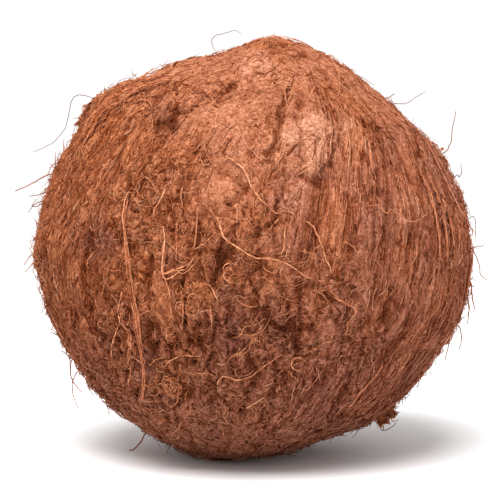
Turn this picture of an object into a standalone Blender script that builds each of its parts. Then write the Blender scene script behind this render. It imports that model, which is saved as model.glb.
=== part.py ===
"""A husked mature coconut with its matted coat of coir fibre, resting on a small flat spot.

Units are metres. +Z is up, +X is to the right and -Y is the side that faces the viewer. The origin is the middle of the
bottom of the bounding box. The nut grew as one piece, so it is one solid: a body whose radius is a formula of the
direction from its centre, and coarse fibres and bundles of fibre that are fused on with their roots sunk in.
"""

import math

import bmesh
import bpy
import numpy as np
from mathutils import Matrix, Vector

MM = 0.001

# Size. The nut is 120 mm wide, which is 438 pixels of the reference picture.
WIDTH = 120 * MM
PICTURE_WIDTH = 438
PIXEL = WIDTH / PICTURE_WIDTH
PICTURE_CENTRE = (252, 252)
EYE_DISTANCE = 600 * MM
EYE_ELEVATION = math.radians(5)

# Outline of the nut as the viewer sees it: degrees clockwise from the top, and radius in millimetres.
OUTLINE = (
    (6, 57.6), (20, 56.9), (38, 55.7), (52, 56.9), (68, 59.5), (90, 60.0), (108, 59.7), (125, 58.2), (142, 56.4),
    (158, 55.3), (175, 56.4), (195, 57.7), (215, 57.6), (235, 57.9), (250, 58.5), (270, 60.0), (288, 59.8),
    (303, 59.5), (315, 59.9), (330, 56.7), (346, 55.8),
)
FRONT_RADIUS = 58.0 * MM
BACK_RADIUS = 57.0 * MM

# The pointed end, the axis that leans to the right, and the three soft faces that a coconut has.
AXIS_LEAN = math.radians(6)
POINT_HEIGHT = 2.0 * MM
POINT_SPREAD = math.radians(17)
FACE_RELIEF = 0.7 * MM

# The flat spot lies this far below the centre.
FLAT_SPOT_DEPTH = 55.6 * MM

# Relief of the coat: combed ridges that run from the pointed end to the base, and lumps of matted fibre.
COLUMNS = 96
RINGS = 28
RIDGE_RELIEF = 0.8 * MM
RIDGE_COUNTS = (30, 48)
RIDGE_TERMS = 18
RIDGE_DRIFT = 6
RIDGE_TWIST = math.radians(-20)
LUMP_RELIEF = 0.38 * MM
LUMP_LENGTH = 19 * MM
MAT_RELIEF = 0.42 * MM
MAT_LENGTH = 11 * MM
BARE_RADIUS = 58 * MM

# Fibres: the radius of a fibre at its root and tip, and how far it stands off the coat.
FIBRE_ROOT = 0.75 * MM
FIBRE_TIP = 0.45 * MM
BUNDLE_ROOT = 1.1 * MM
FIBRE_SIDES = 3
ROOT_DEPTH = 1.5 * MM
ARCH_HEIGHT = 1.1 * MM
FLOOR_CLEARANCE = 1.0 * MM

# Fibres on the face that the viewer sees, as points of the reference picture. Both ends are sunk.
FACE_FIBRES = (
    ((215, 214), (225, 238), (247, 251), (275, 259), (293, 267), (314, 279)),
    ((255, 195), (275, 213), (280, 219), (288, 209), (298, 215)),
    ((286, 222), (284, 235), (282, 248), (275, 254)),
    ((304, 220), (312, 227), (319, 240), (326, 263)),
    ((363, 207), (378, 208), (388, 214), (406, 223), (422, 217), (438, 206)),
    ((342, 242), (352, 248), (361, 265)),
    ((163, 270), (171, 290), (177, 319), (182, 335)),
    ((162, 224), (167, 241), (182, 253), (193, 260)),
    ((198, 207), (199, 227), (193, 250)),
    ((202, 283), (216, 292), (218, 308)),
    ((266, 322), (254, 333), (236, 333)),
    ((330, 295), (352, 309), (345, 320), (341, 336)),
    ((219, 387), (223, 375), (245, 377), (258, 369), (266, 360)),
    ((148, 387), (160, 387), (156, 397), (170, 400)),
    ((179, 381), (179, 396), (167, 407)),
    ((379, 299), (390, 298), (387, 286)),
    ((145, 176), (153, 186), (159, 198)),
    ((120, 292), (122, 312), (130, 332)),
)

# Thicker bundles on the same face: the long one on the left, and the ribs of the flap at the upper right.
FACE_BUNDLES = (
    ((127, 225), (131, 262), (134, 302), (139, 333), (145, 369), (141, 404)),
    ((297, 100), (297, 122), (291, 145), (281, 168)),
    ((318, 104), (323, 126), (332, 150), (338, 176)),
    ((372, 108), (392, 128), (405, 158), (411, 190)),
    ((349, 380), (341, 400), (331, 420)),
)

# Loose fibres round the outline: the first point is the root and the last is the free end.
OUTLINE_FIBRES = (
    ((99, 104), (88, 96), (72, 99), (66, 127), (50, 143), (34, 152)),
    ((219, 58), (214, 43), (226, 32), (241, 33)),
    ((54, 172), (34, 184), (15, 191)),
    ((46, 200), (28, 213)),
    ((44, 244), (34, 252), (24, 265)),
    ((44, 250), (33, 260), (26, 272)),
    ((80, 352), (71, 362), (72, 380), (80, 392)),
    ((80, 366), (74, 388), (78, 409)),
    ((160, 414), (146, 434), (129, 451)),
    ((372, 96), (386, 99), (395, 93)),
    ((388, 112), (396, 103), (411, 104), (425, 92)),
    ((438, 158), (449, 147), (453, 130), (456, 111)),
    ((450, 182), (460, 179), (463, 172), (461, 162)),
    ((462, 222), (473, 224), (477, 242)),
    ((464, 240), (476, 253), (487, 279)),
    ((462, 276), (473, 290), (475, 310)),
    ((446, 318), (461, 330), (458, 350)),
    ((434, 336), (450, 344), (444, 362)),
)

# The clump of fibre that hangs at the lower right.
CLUMP_FIBRES = (
    ((366, 398), (386, 405), (397, 411)),
    ((364, 402), (384, 412), (394, 421)),
    ((360, 406), (376, 416), (383, 428)),
)

# How far behind or before the centre the loose fibres start, and how far they drift to their ends.
OUTLINE_DEPTHS = (-7 * MM, 7 * MM)
OUTLINE_DRIFTS = (-5 * MM, 5 * MM)

# Coarse fibres on the sides and the back, which the viewer doesn't see, by a seeded rule.
HIDDEN_SEEDS = 99
HIDDEN_POINTS = 5
HIDDEN_LENGTH = (20 * MM, 38 * MM)
HIDDEN_FREE_SHARE = 0.4
HIDDEN_FREE_LIFT = (2.5 * MM, 4.5 * MM)
FRONT_REACH = 0.72
LOWEST_START = -0.80
GOLDEN_ANGLE = math.pi * (3 - math.sqrt(5))

COAT_COLOUR = (0.24, 0.105, 0.052, 1.0)
COAT_ROUGHNESS = 0.95
SHARP_ANGLE = math.radians(50)

RIGHT = np.array((1.0, 0.0, 0.0))
UP = np.array((0.0, math.sin(EYE_ELEVATION), math.cos(EYE_ELEVATION)))
AWAY = np.array((0.0, math.cos(EYE_ELEVATION), -math.sin(EYE_ELEVATION)))
AXIS_TURN = np.array(Matrix.Rotation(AXIS_LEAN, 3, "Y"))


def unit(vectors):
    """Each vector divided by its own length."""
    return vectors / np.linalg.norm(vectors, axis=-1, keepdims=True)


def outline_radius(angle):
    """The outline's radius at clockwise angles from the top: a cubic through its points, closed on itself."""
    knots = np.radians([degrees for degrees, radius in OUTLINE])
    radii = np.array([radius for degrees, radius in OUTLINE]) * MM
    knots = np.concatenate((knots[-2:] - 2 * math.pi, knots, knots[:3] + 2 * math.pi))
    radii = np.concatenate((radii[-2:], radii, radii[:3]))
    slopes = np.gradient(radii, knots)
    angle = np.mod(angle, 2 * math.pi)
    cell = np.searchsorted(knots, angle, side="right") - 1
    span = knots[cell + 1] - knots[cell]
    t = (angle - knots[cell]) / span
    return (
        radii[cell] * (1 + 2 * t) * (1 - t) ** 2
        + radii[cell + 1] * t**2 * (3 - 2 * t)
        + slopes[cell] * span * t * (1 - t) ** 2
        - slopes[cell + 1] * span * t**2 * (1 - t)
    )


def waves(points, length, seed, count=22):
    """Smooth noise of about unit size: plane waves of like length with seeded directions and phases, added up."""
    rng = np.random.default_rng(seed)
    directions = unit(rng.normal(size=(count, 3)))
    numbers = 2 * math.pi / (length * rng.uniform(0.75, 1.35, count))
    phases = rng.uniform(0, 2 * math.pi, count)
    angles = points @ (directions * numbers[:, None]).T + phases
    return np.sin(angles).sum(axis=-1) * math.sqrt(2 / count)


def combed(turn, fall, seed=5):
    """Ridges along the fibres: cosines with whole numbers of ridges round the axis, drifting slowly along it."""
    rng = np.random.default_rng(seed)
    counts = rng.integers(*RIDGE_COUNTS, RIDGE_TERMS, endpoint=True)
    drifts = rng.uniform(-RIDGE_DRIFT, RIDGE_DRIFT, RIDGE_TERMS)
    phases = rng.uniform(0, 2 * math.pi, RIDGE_TERMS)
    angles = turn[..., None] * counts + fall[..., None] * drifts + phases
    return np.cos(angles).sum(axis=-1) * math.sqrt(2 / RIDGE_TERMS)


def axis_angles(directions):
    """Angle from the pointed end, and angle round the axis, of unit directions."""
    local = directions @ AXIS_TURN
    fall = np.arccos(np.clip(local[..., 2], -1, 1))
    turn = np.arctan2(local[..., 1], local[..., 0])
    return fall, turn


def twist(fall):
    """How far the combed fibres have swept round the axis at this angle from the pointed end."""
    return RIDGE_TWIST * (1 - np.cos(fall)) / 2


def form_radius(directions):
    """Radius of the nut without its relief: the outline across the view, blended to the front and back radius."""
    depth = directions @ AWAY
    across = outline_radius(np.arctan2(directions @ RIGHT, directions @ UP))
    along = np.where(depth < 0, FRONT_RADIUS, BACK_RADIUS)
    fall, turn = axis_angles(directions)
    point = POINT_HEIGHT * np.exp(-((fall / POINT_SPREAD) ** 2))
    faces = FACE_RELIEF * np.sin(3 * turn) * np.sin(fall) ** 2
    return across * (1 - depth**2) + along * depth**2 + point + faces


def coat_radius(directions):
    """Radius of the coat: the form with its combed ridges, lumps and mats, of which the ridges fade at both ends."""
    fall, turn = axis_angles(directions)
    points = directions * BARE_RADIUS
    ridges = combed(turn - twist(fall), fall) * np.minimum(1, 1.3 * np.sin(fall))
    lumps = waves(points, LUMP_LENGTH, seed=21)
    mats = waves(points, MAT_LENGTH, seed=22)
    relief = RIDGE_RELIEF * ridges + LUMP_RELIEF * lumps + MAT_RELIEF * mats * np.sin(fall)
    return form_radius(directions) + relief


def lines_of_sight(pixels):
    """The eye, and the unit directions from it through points of the reference picture."""
    eye = -AWAY * EYE_DISTANCE
    across = (pixels[:, :1] - PICTURE_CENTRE[0]) * PIXEL * RIGHT
    upwards = (PICTURE_CENTRE[1] - pixels[:, 1:]) * PIXEL * UP
    return eye, unit(across + upwards - eye)


def points_on_face(pixels):
    """Points of the reference picture carried along the lines of sight to the coat."""
    eye, sight = lines_of_sight(pixels)
    nearest = -(sight @ eye)
    points = eye + sight * nearest[:, None]
    gap = np.linalg.norm(points, axis=1)
    for _ in range(8):
        radius = coat_radius(unit(points))
        half_chord = np.sqrt(np.maximum(radius**2 - gap**2, 0))
        points = eye + sight * (nearest - half_chord)[:, None]
    return points


def points_at_depth(pixels, depths):
    """Points of the reference picture carried along the lines of sight to depths behind the nut's centre."""
    eye, sight = lines_of_sight(pixels)
    return eye + sight * ((EYE_DISTANCE + depths) / (sight @ AWAY))[:, None]


def lifted(points, lifts):
    """Points moved out from the nut's centre by the given distances."""
    return points + unit(points) * np.asarray(lifts)[:, None]


def above_floor(points):
    """Points kept a little above the plane of the flat spot."""
    points = points.copy()
    points[:, 2] = np.maximum(points[:, 2], FLOOR_CLEARANCE - FLAT_SPOT_DEPTH)
    return points


def arch(count, height, free_lift=None):
    """Lifts along a fibre: sunk at the root, an arch between, and a sunk end or one that lifts free."""
    along = np.linspace(0, 1, count)
    lifts = height * np.sin(math.pi * along) ** 0.5
    lifts[0] = -ROOT_DEPTH
    if free_lift is None:
        lifts[-1] = -ROOT_DEPTH
    else:
        lifts[1:] += free_lift * along[1:] ** 2
    return lifts


def mesh_object(name, data, collection):
    """A new object for a mesh or a curve, in the collection."""
    made = bpy.data.objects.new(name, data)
    collection.objects.link(made)
    return made


def poly_curve(name, points, radii, closed):
    """A curve of straight runs through the points, with a radius at each."""
    curve = bpy.data.curves.new(name, "CURVE")
    curve.dimensions = "3D"
    spline = curve.splines.new("POLY")
    spline.points.add(len(points) - 1)
    spline.use_cyclic_u = closed
    for spot, place, radius in zip(spline.points, points, radii):
        spot.co = (*place, 1)
        spot.radius = radius
    return curve


def fibre_section(collection):
    """The section of every fibre: a triangle whose corners are 1 m from its middle, scaled by each point's radius."""
    corners = [(math.cos(turn), math.sin(turn), 0) for turn in np.arange(FIBRE_SIDES) * 2 * math.pi / FIBRE_SIDES]
    curve = poly_curve("fibre_section", corners, [1] * FIBRE_SIDES, closed=True)
    return mesh_object("fibre_section", curve, collection)


def fibre(name, points, root_radius, tip_radius, collection):
    """One three-sided tapering fibre through the points, closed at both ends, made a mesh."""
    curve = poly_curve(name, points, np.linspace(root_radius, tip_radius, len(points)), closed=False)
    curve.bevel_mode = "OBJECT"
    curve.bevel_object = bpy.data.objects["fibre_section"]
    curve.use_fill_caps = True
    guide = mesh_object(name + "_guide", curve, collection)
    evaluated = guide.evaluated_get(bpy.context.evaluated_depsgraph_get())
    mesh = bpy.data.meshes.new_from_object(evaluated)
    bpy.data.objects.remove(guide)
    bpy.data.curves.remove(curve)
    weld = bmesh.new()
    weld.from_mesh(mesh)
    bmesh.ops.remove_doubles(weld, verts=weld.verts, dist=0.001 * MM)
    bmesh.ops.recalc_face_normals(weld, faces=weld.faces)
    weld.to_mesh(mesh)
    weld.free()
    return mesh_object(name, mesh, collection)


def between(points, count):
    """The given number of points spaced evenly along a smooth curve through the points."""
    points = np.asarray(points, float)
    padded = np.concatenate((2 * points[:1] - points[1:2], points, 2 * points[-1:] - points[-2:-1]))
    at = np.linspace(0, len(points) - 1, count)
    cell = np.minimum(at.astype(int), len(points) - 2)
    t = (at - cell)[:, None]
    before, start, end, after = (padded[cell + step] for step in range(4))
    return 0.5 * (
        2 * start
        + (end - before) * t
        + (2 * before - 5 * start + 4 * end - after) * t**2
        + (3 * start - before - 3 * end + after) * t**3
    )


def face_fibres(collection):
    """The fibres and bundles on the face, with both ends sunk."""
    for number, pixels in enumerate(FACE_FIBRES + FACE_BUNDLES):
        bundle = number >= len(FACE_FIBRES)
        root, tip = (BUNDLE_ROOT, FIBRE_ROOT) if bundle else (FIBRE_ROOT, FIBRE_TIP)
        count = len(pixels) + 1
        height = BUNDLE_ROOT / 2 if bundle else ARCH_HEIGHT
        points = lifted(points_on_face(between(pixels, count)), arch(count, height))
        fibre(f"face_fibre_{number}", points, root, tip, collection)


def outline_fibres(collection):
    """The loose fibres and the hanging clump that the viewer sees against the background."""
    rng = np.random.default_rng(31)
    for number, pixels in enumerate(OUTLINE_FIBRES + CLUMP_FIBRES):
        root = BUNDLE_ROOT if number >= len(OUTLINE_FIBRES) else FIBRE_ROOT
        count = len(pixels) + 1
        start = rng.uniform(*OUTLINE_DEPTHS)
        depths = start + np.linspace(0, rng.uniform(*OUTLINE_DRIFTS), count)
        points = points_at_depth(between(pixels, count), depths)
        points[0] = unit(points[0]) * (coat_radius(unit(points[0])) - ROOT_DEPTH)
        fibre(f"outline_fibre_{number}", above_floor(points), root, FIBRE_TIP, collection)


def hidden_fibres(collection):
    """Coarse fibres on the sides and the back: they start at even places and follow the combing, more or less."""
    rng = np.random.default_rng(77)
    for number in range(HIDDEN_SEEDS):
        height = 1 - 2 * (number + 0.5) / HIDDEN_SEEDS
        turn = number * GOLDEN_ANGLE + rng.uniform(-0.15, 0.15)
        length = rng.uniform(*HIDDEN_LENGTH)
        heading = rng.normal(0, 0.7)
        curl = rng.normal(0, 0.25)
        free = rng.uniform() < HIDDEN_FREE_SHARE
        free_lift = rng.uniform(*HIDDEN_FREE_LIFT)
        arch_height = ARCH_HEIGHT * rng.uniform(0.7, 1.2)
        ring = math.sqrt(1 - height**2)
        place = Vector((ring * math.cos(turn), ring * math.sin(turn), height))
        if height < LOWEST_START or place.dot(-Vector(AWAY)) > FRONT_REACH:
            continue
        axis = Vector(AXIS_TURN[:, 2])
        course = (place.cross(axis)).cross(place).normalized()
        course = Matrix.Rotation(heading, 3, place) @ course
        if rng.uniform() < 0.5:
            course.negate()
        step = length / (HIDDEN_POINTS - 1) / BARE_RADIUS
        directions = []
        for _ in range(HIDDEN_POINTS):
            directions.append(place.copy())
            side = place.cross(course)
            forward = Matrix.Rotation(step, 3, side)
            place = (forward @ place).normalized()
            course = Matrix.Rotation(curl, 3, place) @ (forward @ course)
        directions = np.array(directions)
        points = directions * coat_radius(directions)[:, None]
        points = lifted(points, arch(HIDDEN_POINTS, arch_height, free_lift if free else None))
        fibre(f"hidden_fibre_{number}", above_floor(points), FIBRE_ROOT, FIBRE_TIP, collection)


def coat_body(collection):
    """The nut's body: a sphere whose vertices are moved out to the coat, then pressed flat at the bottom."""
    ball = bmesh.new()
    bmesh.ops.create_uvsphere(ball, u_segments=COLUMNS, v_segments=RINGS, radius=1)
    mesh = bpy.data.meshes.new("coconut")
    ball.to_mesh(mesh)
    ball.free()
    places = np.empty(len(mesh.vertices) * 3)
    mesh.vertices.foreach_get("co", places)
    places = unit(places.reshape(-1, 3))
    fall = np.arccos(np.clip(places[:, 2], -1, 1))
    turn = np.arctan2(places[:, 1], places[:, 0]) + twist(fall)
    swept = np.stack((np.sin(fall) * np.cos(turn), np.sin(fall) * np.sin(turn), np.cos(fall)), axis=1)
    directions = swept @ AXIS_TURN.T
    points = directions * coat_radius(directions)[:, None]
    points[:, 2] = np.maximum(points[:, 2], -FLAT_SPOT_DEPTH)
    mesh.vertices.foreach_set("co", points.ravel())
    mesh.update()
    return mesh_object("coconut", mesh, collection)


def coat_material():
    """Dry brown coir, quite matt."""
    material = bpy.data.materials.new("coir_coat")
    material.use_nodes = True
    shader = material.node_tree.nodes["Principled BSDF"]
    shader.inputs["Base Color"].default_value = COAT_COLOUR
    shader.inputs["Roughness"].default_value = COAT_ROUGHNESS
    shader.inputs["Metallic"].default_value = 0
    return material


def fuse(body, fibres):
    """Join the fibres to the body as one solid, and remove their own objects."""
    union = body.modifiers.new("fibres", "BOOLEAN")
    union.operation = "UNION"
    union.operand_type = "COLLECTION"
    union.collection = fibres
    union.solver = "EXACT"
    evaluated = body.evaluated_get(bpy.context.evaluated_depsgraph_get())
    fused = bpy.data.meshes.new_from_object(evaluated)
    body.modifiers.remove(union)
    body.data = fused
    for piece in list(fibres.objects):
        bpy.data.objects.remove(piece)
    bpy.data.collections.remove(fibres)


def keep_largest(body):
    """Keep the largest body whose faces join edge to edge: a loose scrap is dropped and a sealed hollow is filled."""
    whole = bmesh.new()
    whole.from_mesh(body.data)
    unseen = set(whole.faces)
    islands = []
    while unseen:
        front = [unseen.pop()]
        island = list(front)
        while front:
            face = front.pop()
            beside = {other for edge in face.edges for other in edge.link_faces} & unseen
            unseen -= beside
            island.extend(beside)
            front.extend(beside)
        islands.append(island)
    islands.sort(key=len, reverse=True)
    scraps = [face for island in islands[1:] for face in island]
    bmesh.ops.delete(whole, geom=scraps, context="FACES")
    whole.to_mesh(body.data)
    whole.free()


def stand_on_origin(body):
    """Move the solid so that the origin is the middle of the bottom of its bounding box."""
    places = np.empty(len(body.data.vertices) * 3)
    body.data.vertices.foreach_get("co", places)
    places = places.reshape(-1, 3)
    low, high = places.min(axis=0), places.max(axis=0)
    middle = Vector(((low[0] + high[0]) / 2, (low[1] + high[1]) / 2, low[2]))
    body.data.transform(Matrix.Translation(-middle))


def main():
    """Build the coconut."""
    for old in list(bpy.data.objects):
        bpy.data.objects.remove(old)
    parts = bpy.data.collections.new("coconut")
    guides = bpy.data.collections.new("guides")
    fibres = bpy.data.collections.new("fibres")
    for collection in (parts, guides, fibres):
        bpy.context.scene.collection.children.link(collection)
    body = coat_body(parts)
    section = fibre_section(guides)
    face_fibres(fibres)
    outline_fibres(fibres)
    hidden_fibres(fibres)
    bpy.data.objects.remove(section)
    fuse(body, fibres)
    keep_largest(body)
    stand_on_origin(body)
    body.data.materials.clear()
    body.data.materials.append(coat_material())
    body.data.shade_smooth()
    body.data.set_sharp_from_angle(angle=SHARP_ANGLE)


main()
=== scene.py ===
# %% [markdown]
# # A husked coconut
#
# A ripe coconut from the shop is a hard round shell in a coat of brown fibre, called coir. The thick husk
# has been cut away, and what is left of it lies on the shell in three ways: pressed to a smooth felt round
# the pointed end, combed into long strands down the sides, and tangled into a curly mat on the face. This
# lesson builds that coat in layers: a skin with the nut's form, some 21,000 fibres and crumbs laid over it
# as arrays, and the long loose strands drawn one by one.

# %% Load the imported model
import math

import bpy
import numpy as np
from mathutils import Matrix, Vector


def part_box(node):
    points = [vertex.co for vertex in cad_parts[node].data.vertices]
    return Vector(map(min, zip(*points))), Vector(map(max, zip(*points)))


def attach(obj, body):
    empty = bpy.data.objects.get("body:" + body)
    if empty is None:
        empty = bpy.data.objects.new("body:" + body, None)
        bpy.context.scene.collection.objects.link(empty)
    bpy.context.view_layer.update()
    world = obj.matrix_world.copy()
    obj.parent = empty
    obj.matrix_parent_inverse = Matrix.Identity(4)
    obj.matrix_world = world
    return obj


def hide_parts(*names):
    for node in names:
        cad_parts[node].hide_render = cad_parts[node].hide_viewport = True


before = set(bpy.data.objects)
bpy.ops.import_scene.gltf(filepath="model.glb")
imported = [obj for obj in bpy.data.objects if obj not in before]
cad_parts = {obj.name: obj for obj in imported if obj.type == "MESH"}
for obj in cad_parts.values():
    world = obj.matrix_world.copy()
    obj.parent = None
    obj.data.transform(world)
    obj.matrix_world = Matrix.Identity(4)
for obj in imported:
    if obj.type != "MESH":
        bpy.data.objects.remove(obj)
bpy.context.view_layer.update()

# %% [markdown]
# ## Scale and centre
#
# The nut is 120 mm wide, and the picture it follows shows that width as 438 pixels, so each pixel is 0.27
# mm. All shapes below are worked out round the nut's own centre. The solid model reaches 64.9 mm to the
# left of that centre, to the tip of its longest loose fibre, 60.7 mm to the front and 55.6 mm down to the
# flat spot it rests on, so its box gives the centre.

# %% Scale and centre
MM = 0.001
PICTURE_SIZE = 500
NUT_WIDTH = 120 * MM
NUT_PIXELS = 438
PIXEL = NUT_WIDTH / NUT_PIXELS
PICTURE_CENTRE = (252, 252)
REACH = np.array((64.9, 60.73, 55.6)) * MM
FLOOR = -REACH[2]
box_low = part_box("coconut")[0]
CENTRE = np.array(box_low) + REACH
print("centre of the nut, mm:", (CENTRE / MM).round(2))

# %% [markdown]
# ## Camera
#
# The picture looks at the nut from a little above the level of its middle. A long lens keeps the outline
# close to a plain front elevation. The nut's centre lies two pixels right of and below the picture's, which
# a very small shift gives.

# %% Camera
EYE_DISTANCE = 600 * MM
EYE_ELEVATION = math.radians(5)
SENSOR = 36
RIGHT = np.array((1.0, 0.0, 0.0))
UP = np.array((0.0, math.sin(EYE_ELEVATION), math.cos(EYE_ELEVATION)))
AWAY = np.array((0.0, math.cos(EYE_ELEVATION), -math.sin(EYE_ELEVATION)))

camera = bpy.data.cameras.new("camera")
camera.sensor_width = SENSOR
camera.lens = SENSOR * EYE_DISTANCE / (PICTURE_SIZE * PIXEL)
camera.shift_x = 0.5 - PICTURE_CENTRE[0] / PICTURE_SIZE
camera.shift_y = PICTURE_CENTRE[1] / PICTURE_SIZE - 0.5
camera.clip_start = 10 * MM
camera_object = bpy.data.objects.new("camera", camera)
camera_object.location = CENTRE - AWAY * EYE_DISTANCE
camera_object.rotation_euler = (math.pi / 2 - EYE_ELEVATION, 0, 0)
bpy.context.scene.collection.objects.link(camera_object)
bpy.context.scene.camera = camera_object
print("lens, mm:", round(camera.lens, 1))

# %% [markdown]
# ## The nut's form
#
# A coconut is nearly a ball with a point and three soft faces. It could be sculpted by hand, but a formula
# can be measured and grown on. Its surface is written as a radius for every direction from the centre: the
# outline that the viewer sees, blended into a plain radius towards the front and the back. The outline is
# some twenty radii round the clock, joined by a closed cubic.

# %% The form as a radius for every direction
OUTLINE = (
    (6, 57.1), (20, 57.4), (38, 55.8), (52, 56.5), (68, 58.5), (90, 59.6), (108, 60.0), (125, 57.0),
    (142, 56.8), (158, 55.2), (175, 56.4), (195, 57.6), (215, 56.9), (235, 57.1), (250, 57.7),
    (270, 59.2), (288, 58.2), (303, 57.7), (315, 59.1), (328, 56.2), (337, 55.8), (346, 54.0),
)
FRONT_RADIUS = 58.0 * MM
BACK_RADIUS = 57.0 * MM
BARE_RADIUS = 58 * MM
AXIS_LEAN = math.radians(6)
POINT_HEIGHT = 2.0 * MM
POINT_SPREAD = math.radians(17)
FACE_RELIEF = 0.7 * MM
AXIS_TURN = np.array((
    (math.cos(AXIS_LEAN), 0, math.sin(AXIS_LEAN)),
    (0, 1, 0),
    (-math.sin(AXIS_LEAN), 0, math.cos(AXIS_LEAN)),
))


def unit(vectors):
    """Each vector divided by its own length."""
    return vectors / np.linalg.norm(vectors, axis=-1, keepdims=True)


def smooth(low, high, values):
    """A step from 0 at low to 1 at high: three times t squared less two times t cubed."""
    t = np.clip((values - low) / (high - low), 0, 1)
    return t * t * (3 - 2 * t)


def outline_radius(angle):
    """Radius of the outline at clockwise angles from the top: a closed cubic through its points."""
    knots = np.radians([degrees for degrees, radius in OUTLINE])
    radii = np.array([radius for degrees, radius in OUTLINE]) * MM
    knots = np.concatenate((knots[-2:] - 2 * math.pi, knots, knots[:3] + 2 * math.pi))
    radii = np.concatenate((radii[-2:], radii, radii[:3]))
    slopes = np.gradient(radii, knots)
    angle = np.mod(angle, 2 * math.pi)
    cell = np.searchsorted(knots, angle, side="right") - 1
    span = knots[cell + 1] - knots[cell]
    t = (angle - knots[cell]) / span
    return (
        radii[cell] * (1 + 2 * t) * (1 - t) ** 2
        + radii[cell + 1] * t**2 * (3 - 2 * t)
        + slopes[cell] * span * t * (1 - t) ** 2
        - slopes[cell + 1] * span * t**2 * (1 - t)
    )


def axis_angles(directions):
    """Angle from the pointed end, and angle round the nut's axis, of unit directions."""
    local = directions @ AXIS_TURN
    return np.arccos(np.clip(local[..., 2], -1, 1)), np.arctan2(local[..., 1], local[..., 0])


def form_radius(directions):
    """The outline across the view, blended into the front or back radius by depth squared."""
    depth = directions @ AWAY
    across = outline_radius(np.arctan2(directions @ RIGHT, directions @ UP))
    along = np.where(depth < 0, FRONT_RADIUS, BACK_RADIUS)
    fall, turn = axis_angles(directions)
    point = POINT_HEIGHT * np.exp(-((fall / POINT_SPREAD) ** 2))
    faces = FACE_RELIEF * np.sin(3 * turn) * np.sin(fall) ** 2
    return across * (1 - depth**2) + along * depth**2 + point + faces


# %% [markdown]
# ## Noise and combing
#
# Two patterns shape everything that follows. The first is smooth noise made of plane waves, which needs no
# lattice and works on whole arrays. The second is the combing: fibres run from the pointed end to the base
# and sweep slightly round the axis, so ridges are cosines of the swept angle, and a fibre's course follows
# the line where that angle stays the same.

# %% Noise and combing
RIDGE_TWIST = math.radians(-20)
RIDGE_TERMS = 18
RIDGE_COUNTS = (30, 48)
RIDGE_DRIFT = 6
WAVE_TERMS = 22


def waves(points, length, seed, count=WAVE_TERMS):
    """Smooth noise of about unit size: a sum of plane waves with seeded directions and phases."""
    rng = np.random.default_rng(seed)
    directions = unit(rng.normal(size=(count, 3)))
    numbers = 2 * math.pi / (length * rng.uniform(0.75, 1.35, count))
    phases = rng.uniform(0, 2 * math.pi, count)
    angles = points @ (directions * numbers[:, None]).T + phases
    return np.sin(angles).sum(axis=-1) * math.sqrt(2 / count)


def twist(fall):
    """How far the combed fibres have swept round the axis at this angle from the pointed end."""
    return RIDGE_TWIST * (1 - np.cos(fall)) / 2


def combed(turn, fall, counts, drift, seed):
    """Ridges along the fibres: a sum of cosines with whole numbers of ridges round the axis."""
    rng = np.random.default_rng(seed)
    numbers = rng.integers(*counts, RIDGE_TERMS, endpoint=True)
    drifts = rng.uniform(-drift, drift, RIDGE_TERMS)
    phases = rng.uniform(0, 2 * math.pi, RIDGE_TERMS)
    angles = turn[..., None] * numbers + fall[..., None] * drifts + phases
    return np.cos(angles).sum(axis=-1) * math.sqrt(2 / RIDGE_TERMS)


def comb_course(directions):
    """Unit tangents along the combing: down from the pointed end, plus the sweep's share round the axis."""
    fall, turn = axis_angles(directions)
    down = np.stack((np.cos(fall) * np.cos(turn), np.cos(fall) * np.sin(turn), -np.sin(fall)), axis=-1)
    around = np.stack((-np.sin(turn), np.cos(turn), np.zeros_like(turn)), axis=-1)
    sweep = np.sin(fall) ** 2 * RIDGE_TWIST / 2
    return unit(down + sweep[..., None] * around) @ AXIS_TURN.T


# %% [markdown]
# ## From the picture to the surface
#
# Marks that belong to one place, such as a groove or a long loose strand, are given as points of the
# picture. Each point is a line of sight, and the line is followed to where it meets the coat, so the mark
# sits on the surface from every side.

# %% From the picture to the surface
SIGHT_ROUNDS = 8


def lines_of_sight(pixels):
    """The eye, and the unit directions from it through points of the picture."""
    eye = -AWAY * EYE_DISTANCE
    across = (pixels[..., :1] - PICTURE_CENTRE[0]) * PIXEL * RIGHT
    upwards = (PICTURE_CENTRE[1] - pixels[..., 1:]) * PIXEL * UP
    return eye, unit(across + upwards - eye)


def points_on_face(pixels, radius_of):
    """Where lines of sight meet the surface: half a chord short of their point nearest the centre."""
    eye, sight = lines_of_sight(pixels)
    nearest = -(sight @ eye)
    points = eye + sight * nearest[..., None]
    gap = np.linalg.norm(points, axis=-1)
    for _ in range(SIGHT_ROUNDS):
        half_chord = np.sqrt(np.maximum(radius_of(unit(points)) ** 2 - gap**2, 0))
        points = eye + sight * (nearest - half_chord)[..., None]
    return points


def points_at_depth(pixels, depths):
    """The lines of sight followed to depths behind the nut's centre."""
    eye, sight = lines_of_sight(pixels)
    return eye + sight * ((EYE_DISTANCE + depths) / (sight @ AWAY))[..., None]


def between(points, count):
    """That many points, evenly spaced, along a smooth curve: a cubic between each two given points."""
    points = np.asarray(points, float)
    padded = np.concatenate((2 * points[:1] - points[1:2], points, 2 * points[-1:] - points[-2:-1]))
    at = np.linspace(0, len(points) - 1, count)
    cell = np.minimum(at.astype(int), len(points) - 2)
    t = (at - cell)[:, None]
    before, start, end, after = (padded[cell + step] for step in range(4))
    return 0.5 * (
        2 * start
        + (end - before) * t
        + (2 * before - 5 * start + 4 * end - after) * t**2
        + (3 * start - before - 3 * end + after) * t**3
    )


# %% [markdown]
# ## Marks on the face
#
# Plates, grooves, pits and patches of colour that belong to one place on the face are shapes in the
# picture's plane. Every direction that faces the viewer is looked up in that plane, and the shape's edge or
# line gives a distance in pixels. Round the outline and on the back the marks fade out.

# %% Marks on the face
HIDDEN = -1000.0


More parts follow.
